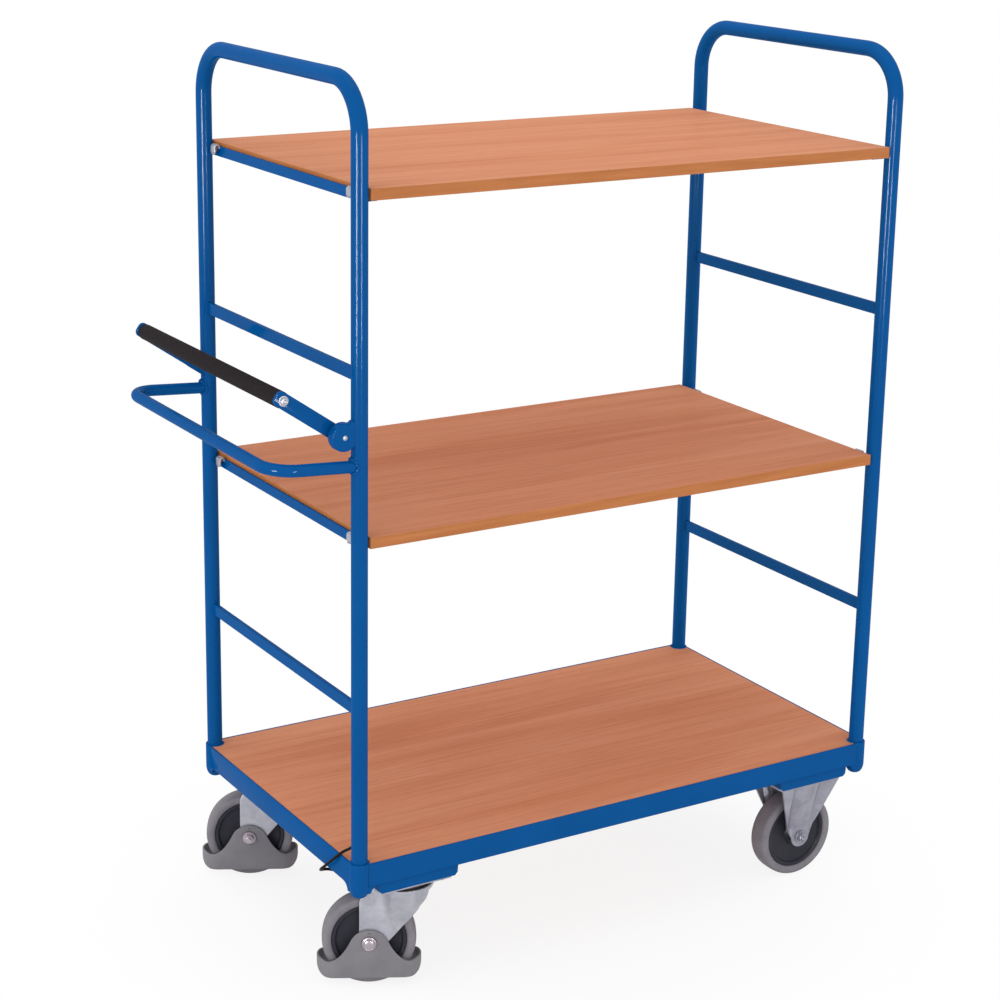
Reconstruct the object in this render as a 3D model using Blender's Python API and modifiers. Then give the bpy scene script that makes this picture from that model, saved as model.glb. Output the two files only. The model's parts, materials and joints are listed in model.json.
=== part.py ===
"""Shelf trolley: two tube end frames, three beech boards, a push bow and a brake lever.

It rolls on four 160 mm castors, two that swivel and carry a rocking pedal ring and two that are fixed.
All sizes are in metres. Inside the script x is 0 at the left posts, y is 0 midway between the near and
far posts and z is 0 on the floor; the root empty then moves everything to the middle of the box that the
trolley fills, so that the world origin lies on the floor under that box's centre.
"""

import math

import bmesh
import bpy
from mathutils import Vector

# General clearances
GAP = 0.0003
OVERRUN = 0.010
MERGE_DISTANCE = 0.00001
SHARP_ANGLE = math.radians(35)
QUARTER_TURN = math.pi / 2

# End frames, bent from one tube each
POST_SPACING_X = 1.0434
POST_SPACING_Y = 0.564
POST_RADIUS = 0.0135
POST_WALL = 0.002
ARCH_AXIS_Z = 1.527
ARCH_BEND_RADIUS = 0.080

# Flat cross rails between the two posts of an end frame
CROSS_RAIL_HEIGHT = 0.0205
CROSS_RAIL_THICKNESS = 0.008
CROSS_RAIL_EDGE = 0.001
CROSS_RAIL_UPPER_Z = 1.0765
CROSS_RAIL_LOWER_Z = 0.5234

# Shelf boards
BOARD_THICKNESS = 0.019
BOARD_EDGE = 0.0012
BOARD_POST_GAP = 0.001
BOARD_OVERHANG_Y = 0.010
TOP_BOARD_UPPER_Z = 1.367
MID_BOARD_UPPER_Z = 0.8155

# Angle rails that carry the shelf boards at each end, and the bent clips at their ends
ANGLE_WEB = 0.003
ANGLE_HEIGHT = 0.017
ANGLE_LEDGE_WIDTH = 0.026
ANGLE_LEDGE_THICKNESS = 0.004
ANGLE_BOARD_GAP = 0.002
ANGLE_WEB_START = 0.030
ANGLE_CORNER_RADIUS = 0.004
CLIP_SHEET = 0.002
CLIP_START = 0.026
CLIP_WIDTH = 0.017
CLIP_REACH = 0.0097
CLIP_HEIGHT = 0.0165
CLIP_TAIL = 0.0025

# Deck: a folded rail along each edge, a board let in flush, and a socket round each post
DECK_RAIL_HEIGHT = 0.0405
DECK_RAIL_REACH = 0.0145
DECK_RAIL_SHEET = 0.0035
DECK_RAIL_WIDTH = 0.028
DECK_BOARD_THICKNESS = 0.018
SOCKET_RADIUS = 0.01685
SOCKET_HEIGHT = 0.062
SOCKET_RISE = 0.0012
SOCKET_FOOT_RADIUS = 0.009
SOCKET_TAPER_HEIGHT = 0.015
SOCKET_TAPER_SHARE = 1 / 3
SOCKET_SHOULDER = 0.0012
SOCKET_FLOOR = 0.018
GUSSET_REACH = 0.013
GUSSET_DROP = 0.012

# Pressed cross members under the deck, one over each pair of castors
MEMBER_WIDTH = 0.152
MEMBER_SHEET = 0.003
MEMBER_SLOPE = 0.0014
MEMBER_CHAMFER = 0.005
MEMBER_END_SETBACK = 0.0045

# Push bow
BOW_RADIUS = 0.010
BOW_WALL = 0.0015
BOW_REACH = 0.150
BOW_POST_Z = 0.932
BOW_FRONT_RISE = 0.010
BOW_BEND_RADIUS = 0.045

# Brake lever above the bow
PIVOT_REACH = 0.029
PIVOT_Z = 0.983
BOSS_RADIUS = 0.0226
BOSS_WIDTH = 0.016
BOSS_OUTER_SETBACK = 0.008
BOSS_NECK_RISE = 0.024
BOSS_START_ANGLE = math.radians(-48)
BOSS_END_ANGLE = math.radians(-300)
LUG_RADIUS = 0.0125
LEVER_ANGLE = math.radians(34.6)
LEVER_LENGTH = 0.1155
ARM_WIDTH = 0.025
ARM_THICKNESS = 0.005
ARM_TIP = 0.015
ARM_TIP_RADIUS = 0.009
ARM_SIDE_GAP = 0.0045
PIN_RADIUS = 0.003
PIN_HEAD_RADIUS = 0.0042
PIN_HEAD_HEIGHT = 0.0015
PIN_SHOULDER_RADIUS = 0.008
PIN_COLLAR_RADIUS = 0.006
PIN_COLLAR_HEIGHT = 0.003
PIN_DOME_SHARE = 0.7
GRIP_TUBE_RADIUS = 0.009
GRIP_TUBE_WALL = 0.0015
GRIP_RADIUS = 0.0135
GRIP_END_ROUND = 0.002
LEVER_BOLT_RADIUS = 0.004
LEVER_BOLT_DEPTH = 0.018
WASHER_RADIUS = 0.0085
WASHER_HEIGHT = 0.0016
LEVER_BOLT_HEAD_RADIUS = 0.0062
LEVER_BOLT_HEAD_HEIGHT = 0.0045

# Castors
WHEEL_RADIUS = 0.080
TYRE_HALF_WIDTH = 0.020
TYRE_BAND = 0.0165
TYRE_SHOULDER = 0.0035
TYRE_CROWN_SHARE = 0.5
TYRE_SHOULDER_SHARE = 1 / 3
SWIVEL_INSET_X = 0.106
SWIVEL_INSET_Y = 0.048
FIXED_INSET_X = 0.104
FIXED_INSET_Y = 0.049
PLATE_LENGTH = 0.140
PLATE_WIDTH = 0.110
PLATE_THICKNESS = 0.004
PLATE_CORNER_RADIUS = 0.010
PLATE_HOLE_RADIUS = 0.0055
PLATE_HOLE_INSET = 0.0165
HUB_BORE_CLEARANCE = 0.0003
HUB_HALF_WIDTH = 0.0165
HUB_BOSS_RADIUS = 0.021
HUB_BOSS_HALF_WIDTH = 0.0222
HUB_WEB_HALF_WIDTH = 0.0105
HUB_RING_RADIUS = 0.039
HUB_RING_WIDTH = 0.006
HUB_RING_HALF_WIDTH = 0.0125
HUB_RIM_THICKNESS = 0.007
HUB_DRAFT_SHARE = 1 / 3
AXLE_RADIUS = 0.005
AXLE_HEAD_RADIUS = 0.0098
AXLE_HEAD_HEIGHT = 0.006

# Swivel castors: how far the wheel trails and how far both are turned in the photograph
SWIVEL_TRAIL = 0.0547
SWIVEL_TURN = math.radians(-27.8)
FORK_SHEET = 0.0035
FORK_OUTER = 0.0265
FORK_END_RADIUS = 0.0208
FORK_END_FORWARD = 0.004
FORK_TOP_RISE = 0.0003
FORK_LIP = 0.0006
FORK_SHOULDER_DROP = 0.0344
FORK_FLARE_DROP = 0.0804
FORK_FRONT_REACH = 0.0666
FORK_FRONT_DROP = 0.0644
FORK_FRONT_PLACES = ((0.015, 0.024), (0.0184, 0.032), (0.0254, 0.040), (0.0309, 0.050))
FORK_CREASE = 0.0190
FORK_CREASE_RUN = 0.018
FORK_FOOT_TURNS = (74, 58)
CROWN_RADIUS = 0.0555
CROWN_TYRE_CLEARANCE = 0.0125
CROWN_HEIGHT = 0.0136
CROWN_PLATE_CLEARANCE = 0.0076
CROWN_FLOOR_RADIUS = 0.0455
RACE_TOP_RADIUS = 0.042
RACE_FOOT_RADIUS = 0.036
KINGPIN_RADIUS = 0.008
KINGPIN_HEAD_RADIUS = 0.014
KINGPIN_HEAD_HEIGHT = 0.006

# Pedal ring of a swivel castor
PEDAL_TYRE_CLEARANCE = 0.005
PEDAL_HALF_WIDTH = 0.031
PEDAL_WALL = 0.0035
PEDAL_FOOT_Z = 0.0162
PEDAL_END_TOP_Z = 0.048
PEDAL_DIP_TOP_Z = 0.0455
PEDAL_DIP_SETBACK = 0.0145
PEDAL_HUMP_RADIUS = 0.0344
PEDAL_HUMP_DROP = 0.0103
PEDAL_FOOT_ROUND = 0.018
PEDAL_FOOT_ROUND_SHARE = 0.3
PEDAL_FLANK_ANGLE = math.radians(25)
PEDAL_SWEEP_POWER = 2.32

# Fixed castors
FIXED_LEG_OUTER = 0.0290
FIXED_LEG_SHEET = 0.0035
FIXED_LEG_TOP_HALF_LENGTH = 0.066
FIXED_LEG_END_RADIUS = 0.020
FIXED_LEG_UPRIGHT_RISE = 0.020
FIXED_LEG_RAKE_SHARE = 0.9
FIXED_LEG_CREASE_HALF_LENGTH = 0.026
FIXED_LEG_CREASE_DEPTH = 0.002
FIXED_LEG_CREASE_RISE_SHARE = 0.25
FIXED_LEG_FOOT_TURNS = (70, 42, 16)

# Brake cable, from inside the near left post to its ferrule: its places are measured from its exit
CABLE_RADIUS = 0.0025
CABLE_EXIT_RISE = 0.0272
CABLE_FERRULE_RADIUS = 0.0045
CABLE_FERRULE_LENGTH = 0.012
CABLE_FERRULE_INSET_Y = 0.074
CABLE_FERRULE_DROP = 0.010
CABLE_POINT_SPACING = 0.010
CABLE_HOLE_SHARE = 1.5
FERRULE_TAPER_SHARE = 0.75
CABLE_PLACES = (
    (0.000, 0.000, 0.036),
    (-0.001, 0.001, 0.020),
    (-0.003, 0.007, 0.005),
    (-0.007, 0.019, -0.008),
    (-0.0135, 0.033, -0.019),
    (-0.0215, 0.049, -0.036),
    (-0.0270, 0.066, -0.053),
    (-0.0292, 0.0775, -0.0635),
    (-0.0272, 0.0855, -0.0700),
    (-0.0205, 0.0885, -0.0720),
    (-0.0125, 0.0865, -0.0728),
    (-0.0030, 0.0810, -0.0745),
    (0.0050, 0.0765, -0.0768),
)

# Facets round a full turn
TUBE_SEGMENTS = 16
SLIM_TUBE_SEGMENTS = 12
BORE_SEGMENTS = 8
WHEEL_SEGMENTS = 24
SOCKET_SEGMENTS = 20
SMALL_SEGMENTS = 12
HOLE_SEGMENTS = 8
BEND_SEGMENTS = 6
CUTTER_SEGMENTS = 24
CORNER_SEGMENTS = 4
PLATE_CORNER_SEGMENTS = 3
CLIP_SEGMENTS = 6
ARM_END_SEGMENTS = 10
BOSS_SEGMENTS = 16
PEDAL_END_SEGMENTS = 9
PEDAL_FLANK_STEPS = 5
LEG_COLUMNS = 6
SWIVEL_LEG_STEPS = 3
FIXED_LEG_STEPS = 3
HEXAGON = 6
CABLE_SEGMENTS = 8

# Worked out from the sizes above
HALF_Y = POST_SPACING_Y / 2
POST_PLACES = {
    "left_near": (0.0, -HALF_Y),
    "left_far": (0.0, HALF_Y),
    "right_near": (POST_SPACING_X, -HALF_Y),
    "right_far": (POST_SPACING_X, HALF_Y),
}
CROWN_UNDER_Z = 2 * WHEEL_RADIUS + CROWN_TYRE_CLEARANCE
CROWN_FLOOR_Z = CROWN_UNDER_Z + FORK_SHEET
CROWN_RIM_Z = CROWN_UNDER_Z + CROWN_HEIGHT
FORK_TOP_Z = CROWN_RIM_Z + FORK_TOP_RISE
FORK_SHOULDER_Z = FORK_TOP_Z - FORK_SHOULDER_DROP
FORK_FRONT_Z = FORK_TOP_Z - FORK_FRONT_DROP
FORK_FLARE_FOOT_Z = FORK_TOP_Z - FORK_FLARE_DROP
PLATE_FOOT_Z = CROWN_RIM_Z + CROWN_PLATE_CLEARANCE
PLATE_TOP_Z = PLATE_FOOT_Z + PLATE_THICKNESS
SOCKET_FOOT_Z = PLATE_TOP_Z + GAP
SOCKET_TOP_Z = SOCKET_FOOT_Z + SOCKET_HEIGHT
DECK_TOP_Z = SOCKET_TOP_Z - SOCKET_RISE
DECK_LEDGE_Z = DECK_TOP_Z - DECK_BOARD_THICKNESS - GAP
DECK_RAIL_FOOT_Z = DECK_TOP_Z - DECK_RAIL_HEIGHT
POST_FOOT_Z = SOCKET_FOOT_Z + SOCKET_FLOOR + GAP
SOCKET_BORE_RADIUS = POST_RADIUS + GAP
BOARD_START_X = POST_RADIUS + BOARD_POST_GAP
ANGLE_OUTER_X = BOARD_START_X - ANGLE_BOARD_GAP - ANGLE_WEB
ANGLE_END_Y = math.sqrt((POST_RADIUS + GAP) ** 2 - ANGLE_OUTER_X**2) + GAP
RIM_RADIUS = WHEEL_RADIUS - TYRE_BAND
PEDAL_HALF_LENGTH = WHEEL_RADIUS + PEDAL_TYRE_CLEARANCE + PEDAL_WALL
PEDAL_DIP_REACH = PEDAL_HALF_LENGTH - PEDAL_DIP_SETBACK
PEDAL_HUMP_CENTRE_Z = WHEEL_RADIUS - PEDAL_HUMP_DROP
FIXED_LEG_UPRIGHT_Z = WHEEL_RADIUS + FIXED_LEG_UPRIGHT_RISE
CABLE_EXIT_Z = DECK_TOP_Z + CABLE_EXIT_RISE
ARM_INNER_GAP = BOSS_WIDTH - BOSS_OUTER_SETBACK + ARM_SIDE_GAP
LEVER_ARM_Y = HALF_Y - ARM_INNER_GAP - ARM_THICKNESS / 2
GRIP_HALF_LENGTH = LEVER_ARM_Y - ARM_THICKNESS / 2 - GAP
AXLE_HOLE_RADIUS = AXLE_RADIUS + GAP
SIDES = {"near": -1, "far": 1}

# The box that the trolley fills, and the place of its middle
BOX_LEFT = -BOW_REACH - BOW_RADIUS
BOX_RIGHT = POST_SPACING_X + SOCKET_RADIUS
PEDAL_REACH_Y = (PEDAL_HALF_LENGTH - PEDAL_HALF_WIDTH) * abs(math.sin(SWIVEL_TURN)) + PEDAL_HALF_WIDTH
BOX_NEAR = -HALF_Y - SOCKET_RADIUS
BOX_FAR = HALF_Y - SWIVEL_INSET_Y - SWIVEL_TRAIL * math.sin(SWIVEL_TURN) + PEDAL_REACH_Y
BOX_CENTRE_X = (BOX_LEFT + BOX_RIGHT) / 2
BOX_CENTRE_Y = (BOX_NEAR + BOX_FAR) / 2


# Scene, collections and materials


def clear_scene():
    for obj in list(bpy.data.objects):
        bpy.data.objects.remove(obj, do_unlink=True)


def new_collection(name):
    collection = bpy.data.collections.new(name)
    bpy.context.scene.collection.children.link(collection)
    return collection


def finish(name, colour, roughness, metallic):
    material = bpy.data.materials.new(name)
    material.use_nodes = True
    shader = material.node_tree.nodes["Principled BSDF"]
    shader.inputs["Base Color"].default_value = (*colour, 1)
    shader.inputs["Roughness"].default_value = roughness
    shader.inputs["Metallic"].default_value = metallic
    material.diffuse_color = (*colour, 1)
    return material


clear_scene()
PARTS = new_collection("shelf_trolley")
CUTTERS = new_collection("cutters")
CUTTERS.hide_render = True

BLUE = finish("blue_powder_coat", (0.004, 0.093, 0.352), 0.28, 0.0)
BEECH = finish("beech_laminate", (0.552, 0.218, 0.105), 0.42, 0.0)
ZINC = finish("zinc_plate", (0.56, 0.58, 0.60), 0.32, 0.9)
TYRE_GREY = finish("grey_tyre", (0.235, 0.223, 0.235), 0.6, 0.0)
HUB_GREY = finish("dark_hub", (0.045, 0.048, 0.058), 0.45, 0.0)
PEDAL_GREY = finish("pedal_grey", (0.27, 0.26, 0.27), 0.5, 0.0)
FOAM_BLACK = finish("black_foam", (0.012, 0.012, 0.013), 0.85, 0.0)
CABLE_BLACK = finish("black_cable", (0.01, 0.01, 0.01), 0.4, 0.0)


# Building blocks


def empty(name, parent, location, turn=0.0, tilt=0.0):
    """A frame for pieces that move together: turned about Z or tilted about Y."""
    obj = bpy.data.objects.new(name, None)
    PARTS.objects.link(obj)
    obj.parent = parent
    obj.location = location
    obj.rotation_euler = (0, tilt, turn)
    return obj


def add(name, data, material, parent, location=(0, 0, 0), rotation=(0, 0, 0)):
    obj = bpy.data.objects.new(name, data)
    PARTS.objects.link(obj)
    obj.parent = parent
    obj.location = location
    obj.rotation_euler = rotation
    if material:
        data.materials.append(material)
    return obj


def as_cutter(obj):
    """Keeps a helper out of the model: it shapes other pieces and isn't one itself."""
    PARTS.objects.unlink(obj)
    CUTTERS.objects.link(obj)
    obj.hide_render = True
    obj.display_type = "WIRE"
    return obj


def combine(obj, other, operation):
    modifier = obj.modifiers.new(f"{operation.lower()} {other.name}", "BOOLEAN")
    modifier.operation = operation
    modifier.object = other
    modifier.solver = "EXACT"


def smooth(obj):
    obj.data.shade_smooth()
    obj.data.set_sharp_from_angle(angle=SHARP_ANGLE)
    return obj


def rounded_edges(obj, width, segments=2):
    modifier = obj.modifiers.new("rounded edges", "BEVEL")
    modifier.width = width
    modifier.segments = segments
    modifier.limit_method = "ANGLE"
    return obj


def box(name, size, material, parent, location, rotation=(0, 0, 0)):
    mesh = bpy.data.meshes.new(name)
    shape = bmesh.new()
    bmesh.ops.create_cube(shape, size=1)
    bmesh.ops.scale(shape, vec=Vector(size), verts=shape.verts)
    shape.to_mesh(mesh)
    shape.free()
    return add(name, mesh, material, parent, location, rotation)


def prism(name, radius, height, segments, material, parent, location, rotation=(0, 0, 0)):
    """An upright cylinder, or a hexagon when it has six segments."""
    mesh = bpy.data.meshes.new(name)
    shape = bmesh.new()
    bmesh.ops.create_cone(
        shape, cap_ends=True, segments=segments, radius1=radius, radius2=radius, depth=height
    )
    shape.to_mesh(mesh)
    shape.free()
    return add(name, mesh, material, parent, location, rotation)


def turned(name, profile, segments, material, parent, location, rotation=(0, 0, 0), ring=False):
    """A profile of (radius, height) pairs, outer side downwards, turned round its own Z."""
    mesh = bpy.data.meshes.new(name)
    shape = bmesh.new()
    verts = [shape.verts.new((radius, 0, height)) for radius, height in profile]
    for first, second in zip(verts, verts[1:]):
        shape.edges.new((first, second))
    if ring:
        shape.edges.new((verts[-1], verts[0]))
    shape.to_mesh(mesh)
    shape.free()
    obj = add(name, mesh, material, parent, location, rotation)
    screw = obj.modifiers.new("turned", "SCREW")
    screw.steps = segments
    screw.render_steps = segments
    screw.use_merge_vertices = True
    screw.merge_threshold = MERGE_DISTANCE
    screw.use_smooth_shade = True
    return obj


def plate(name, outlines, thickness, material, parent, location, rotation=(0, 0, 0)):
    """A flat outline, with its holes, as thick as said; the first outline is the outer one."""
    curve = bpy.data.curves.new(name, "CURVE")
    curve.dimensions = "2D"
    curve.fill_mode = "BOTH"
    curve.extrude = thickness / 2
    for outline in outlines:
        spline = curve.splines.new("POLY")
        spline.points.add(len(outline) - 1)
        for point, (x, y) in zip(spline.points, outline):
            point.co = (x, y, 0, 1)
        spline.use_cyclic_u = True
    obj = add(name, curve, material, parent, location, rotation)
    return as_mesh(obj)


def tube(name, points, radius, segments, material, parent, location=(0, 0, 0), rotation=(0, 0, 0)):
    """A round bar or cord along a list of points."""
    curve = bpy.data.curves.new(name, "CURVE")
    curve.dimensions = "3D"
    curve.bevel_depth = radius
    curve.bevel_resolution = segments // 2 - 2
    curve.use_fill_caps = True
    curve.twist_mode = "MINIMUM"
    spline = curve.splines.new("POLY")
    spline.points.add(len(points) - 1)
    for point, place in zip(spline.points, points):
        point.co = (*place, 1)
    return add(name, curve, material, parent, location, rotation)


def as_mesh(obj):
    """Turns a curve object into a closed mesh object of the same name and place."""
    bpy.context.view_layer.update()
    graph = bpy.context.evaluated_depsgraph_get()
    mesh = bpy.data.meshes.new_from_object(obj.evaluated_get(graph))
    shape = bmesh.new()
    shape.from_mesh(mesh)
    bmesh.ops.remove_doubles(shape, verts=shape.verts, dist=MERGE_DISTANCE)
    bmesh.ops.recalc_face_normals(shape, faces=shape.faces)
    shape.to_mesh(mesh)
    shape.free()
    name = obj.name
    parent = obj.parent
    matrix = obj.matrix_world.copy()
    material = obj.data.materials[0] if obj.data.materials else None
    bpy.data.objects.remove(obj, do_unlink=True)
    solid = bpy.data.objects.new(name, mesh)
    PARTS.objects.link(solid)
    solid.parent = parent
    solid.matrix_world = matrix
    mesh.materials.clear()
    if material:
        mesh.materials.append(material)
    return solid


def arc(centre, radius, start, end, segments):
    """Points along an arc, both ends included; angles are in radians."""
    return [
        (
            centre[0] + radius * math.cos(start + (end - start) * step / segments),
            centre[1] + radius * math.sin(start + (end - start) * step / segments),
        )
        for step in range(segments + 1)
    ]


def circle(centre, radius, segments):
    return arc(centre, radius, 0, math.tau, segments)[:-1]


def rounded_rectangle(half_x, half_y, radius, segments):
    points = []
    for quarter, (sign_x, sign_y) in enumerate(((1, 1), (-1, 1), (-1, -1), (1, -1))):
        centre = (sign_x * (half_x - radius), sign_y * (half_y - radius))
        start = quarter * QUARTER_TURN
        points += arc(centre, radius, start, start + QUARTER_TURN, segments)
    return points


def ease(share):
    """0 to 1 with a gentle start and end."""
    share = min(max(share, 0), 1)
    return share * share * (3 - 2 * share)


ALONG_Y = (QUARTER_TURN, 0, 0)
FACING_NEAR = ALONG_Y
FACING_LEFT = (QUARTER_TURN, 0, QUARTER_TURN)


# Clearance cutters round the posts and the sockets


def post_cutters(root):
    cutters = {}
    height = ARCH_AXIS_Z
    for name, (x, y) in POST_PLACES.items():
        place = (x, y, height / 2)
        cutters[name] = as_cutter(
            prism(f"post_clearance_{name}", SOCKET_BORE_RADIUS, height, CUTTER_SEGMENTS, None, root, place)
        )
    return cutters


def socket_cutters(root):
    cutters = {}
    height = SOCKET_TOP_Z - SOCKET_FOOT_Z + 2 * OVERRUN
    middle = (SOCKET_TOP_Z + SOCKET_FOOT_Z) / 2
    for name, (x, y) in POST_PLACES.items():
        place = (x, y, middle)
        radius = SOCKET_RADIUS + GAP
        cutters[name] = as_cutter(
            prism(f"socket_clearance_{name}", radius, height, CUTTER_SEGMENTS, None, root, place)
        )
    return cutters


# End frames


def arch_path(foot_z, bend_radius):
    """One end frame's centre line in its own YZ plane, from the near post's foot to the far one's."""
    points = [(0, -HALF_Y, foot_z)]
    near = (-HALF_Y + bend_radius, ARCH_AXIS_Z - bend_radius)
    far = (HALF_Y - bend_radius, ARCH_AXIS_Z - bend_radius)
    bend = arc(near, bend_radius, math.pi, QUARTER_TURN, BEND_SEGMENTS)
    bend += arc(far, bend_radius, QUARTER_TURN, 0, BEND_SEGMENTS)
    points += [(0, y, z) for y, z in bend]
    points.append((0, HALF_Y, foot_z))
    return points


def end_frame(name, x, root):
    frame = tube(
        name, arch_path(POST_FOOT_Z, ARCH_BEND_RADIUS), POST_RADIUS, TUBE_SEGMENTS, BLUE, root, (x, 0, 0)
    )
    frame = as_mesh(frame)
    bore = tube(
        f"{name}_bore",
        arch_path(POST_FOOT_Z - OVERRUN, ARCH_BEND_RADIUS),
        POST_RADIUS - POST_WALL,
        BORE_SEGMENTS,
        None,
        root,
        (x, 0, 0),
    )
    combine(frame, as_cutter(as_mesh(bore)), "DIFFERENCE")
    return smooth(frame)


def cross_rail(name, x, z, side_name, root, cutters):
    rail = box(
        name,
        (CROSS_RAIL_THICKNESS, POST_SPACING_Y, CROSS_RAIL_HEIGHT),
        BLUE,
        root,
        (x, 0, z),
    )
    rounded_edges(rail, CROSS_RAIL_EDGE)
    for side in SIDES:
        combine(rail, cutters[f"{side_name}_{side}"], "DIFFERENCE")
    return rail


# Shelves


def angle_rail(name, end_x, inward, board_upper_z, root):
    """The angle under a board's end: web outside the board's end, ledge below the board."""
    board_foot_z = board_upper_z - BOARD_THICKNESS
    ledge_top = board_foot_z - GAP
    foot = ledge_top - ANGLE_LEDGE_THICKNESS
    top = foot + ANGLE_HEIGHT
    outline = [
        (0, foot),
        (ANGLE_LEDGE_WIDTH, foot),
        (ANGLE_LEDGE_WIDTH, ledge_top),
        (ANGLE_WEB, ledge_top),
        (ANGLE_WEB, top),
        (0, top),
    ]
    outline = [(inward * (ANGLE_OUTER_X + across), up) for across, up in outline]
    length = POST_SPACING_Y - 2 * ANGLE_END_Y
    rail = plate(name, [outline], length, BLUE, root, (end_x, 0, 0), FACING_NEAR)
    # The web stops short of the posts with a rounded corner, and the ledge runs on to them.
    notch_length = ANGLE_WEB_START - ANGLE_END_Y + OVERRUN
    web_height = top - ledge_top
    for side, sign in SIDES.items():
        notch = notch_outline(notch_length, web_height)
        notch = [(sign * (HALF_Y - ANGLE_WEB_START + along), ledge_top + up) for along, up in notch]
        cutter = plate(
            f"{name}_notch_{side}",
            [notch],
            ANGLE_OUTER_X + ANGLE_WEB + OVERRUN,
            None,
            root,
            (end_x + inward * ANGLE_OUTER_X, 0, 0),
            FACING_LEFT,
        )
        combine(rail, as_cutter(cutter), "DIFFERENCE")
    return rail


def notch_outline(length, height):
    """What is cut away beyond the web's end: its corner next to the web leaves the web rounded."""
    radius = ANGLE_CORNER_RADIUS
    corner = arc((-radius, height - radius), radius, QUARTER_TURN, 0, CORNER_SEGMENTS)
    return [(-radius, height + OVERRUN)] + corner + [(0, GAP), (length, GAP), (length, height + OVERRUN)]


def clip(name, end_x, inward, sign, board_upper_z, root):
    """A strip bent over at its top: a short leg on the rail's web and a long one standing free."""
    radius = CLIP_REACH / 2
    web_x = ANGLE_OUTER_X - GAP
    free_x = web_x - CLIP_REACH
    foot = board_upper_z - BOARD_THICKNESS
    bend = (web_x - radius, foot + CLIP_HEIGHT - radius)
    tail_z = bend[1] - CLIP_TAIL
    outline = [(free_x, foot)] + arc(bend, radius, math.pi, 0, CLIP_SEGMENTS)
    outline += [(web_x, tail_z), (web_x - CLIP_SHEET, tail_z)]
    outline += arc(bend, radius - CLIP_SHEET, 0, math.pi, CLIP_SEGMENTS)
    outline.append((free_x + CLIP_SHEET, foot))
    outline = [(inward * x, z) for x, z in outline]
    middle = sign * (HALF_Y - CLIP_START - CLIP_WIDTH / 2)
    return plate(name, [outline], CLIP_WIDTH, ZINC, root, (end_x, middle, 0), FACING_NEAR)


def shelf(level, board_upper_z, root):
    board = box(
        f"shelf_board_{level}",
        (
            POST_SPACING_X - 2 * BOARD_START_X,
            POST_SPACING_Y + 2 * BOARD_OVERHANG_Y,
            BOARD_THICKNESS,
        ),
        BEECH,
        root,
        (POST_SPACING_X / 2, 0, board_upper_z - BOARD_THICKNESS / 2),
    )
    rounded_edges(board, BOARD_EDGE)
    for end, end_x, inward in (("left", 0.0, 1), ("right", POST_SPACING_X, -1)):
        angle_rail(f"shelf_rail_{level}_{end}", end_x, inward, board_upper_z, root)
        for side, sign in SIDES.items():
            clip(f"clip_{level}_{end}_{side}", end_x, inward, sign, board_upper_z, root)


# Deck


def deck_section():
    """The folded edge rail: an upright lip outside, a ledge under the board and an inner flange."""
    sheet = DECK_RAIL_SHEET
    ledge_foot = DECK_LEDGE_Z - sheet
    return [
        (0, DECK_RAIL_FOOT_Z),
        (sheet, DECK_RAIL_FOOT_Z),
        (sheet, ledge_foot),
        (DECK_RAIL_WIDTH - sheet, ledge_foot),
        (DECK_RAIL_WIDTH - sheet, DECK_RAIL_FOOT_Z),
        (DECK_RAIL_WIDTH, DECK_RAIL_FOOT_Z),
        (DECK_RAIL_WIDTH, DECK_LEDGE_Z),
        (sheet, DECK_LEDGE_Z),
        (sheet, DECK_TOP_Z),
        (0, DECK_TOP_Z),
    ]


def socket(name, x, y, root):
    shoulder = SOCKET_SHOULDER
    taper_radius = SOCKET_RADIUS - (SOCKET_RADIUS - SOCKET_FOOT_RADIUS) * SOCKET_TAPER_SHARE
    profile = [
        (0, SOCKET_TOP_Z),
        (SOCKET_RADIUS - shoulder, SOCKET_TOP_Z),
        (SOCKET_RADIUS, SOCKET_TOP_Z - shoulder),
        (SOCKET_RADIUS, SOCKET_FOOT_Z + SOCKET_TAPER_HEIGHT),
        (taper_radius, SOCKET_FOOT_Z + SOCKET_TAPER_HEIGHT * SOCKET_TAPER_SHARE),
        (SOCKET_FOOT_RADIUS, SOCKET_FOOT_Z),
        (0, SOCKET_FOOT_Z),
    ]
    return as_cutter(turned(name, profile, SOCKET_SEGMENTS, None, root, (x, y, 0)))


def gusset(name, place, direction, fused, root):
    """The small curved web from a rail's lower edge down to the socket, along the given direction."""
    top = DECK_RAIL_FOOT_Z + (GAP if fused else -GAP)
    start = SOCKET_RADIUS / 2
    outer = SOCKET_RADIUS + GUSSET_REACH
    foot = DECK_RAIL_FOOT_Z - GUSSET_DROP
    wall = SOCKET_RADIUS - SOCKET_SHOULDER * 2
    bow = [
        (
            wall + (outer - wall) * (1 - math.cos(turn)),
            foot + (top - foot) * math.sin(turn),
        )
        for turn in [QUARTER_TURN * step / BEND_SEGMENTS for step in range(BEND_SEGMENTS)]
    ]
    outline = [(start, top), (start, foot)] + bow + [(outer, top)]
    inset = DECK_RAIL_REACH - DECK_RAIL_SHEET / 2
    x, y = place
    along_x, along_y = direction
    if along_x:
        outline = [(along_x * along, up) for along, up in outline]
        outward = math.copysign(inset, y)
        return as_cutter(
            plate(name, [outline], DECK_RAIL_SHEET - GAP, None, root, (x, y + outward, 0), FACING_NEAR)
        )
    outline = [(along_y * along, up) for along, up in outline]
    outward = inset if x > 0 else -inset
    return as_cutter(
        plate(
            name, [outline], DECK_RAIL_SHEET - GAP, None, root, (x + outward, y, 0), FACING_LEFT
        )
    )


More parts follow.
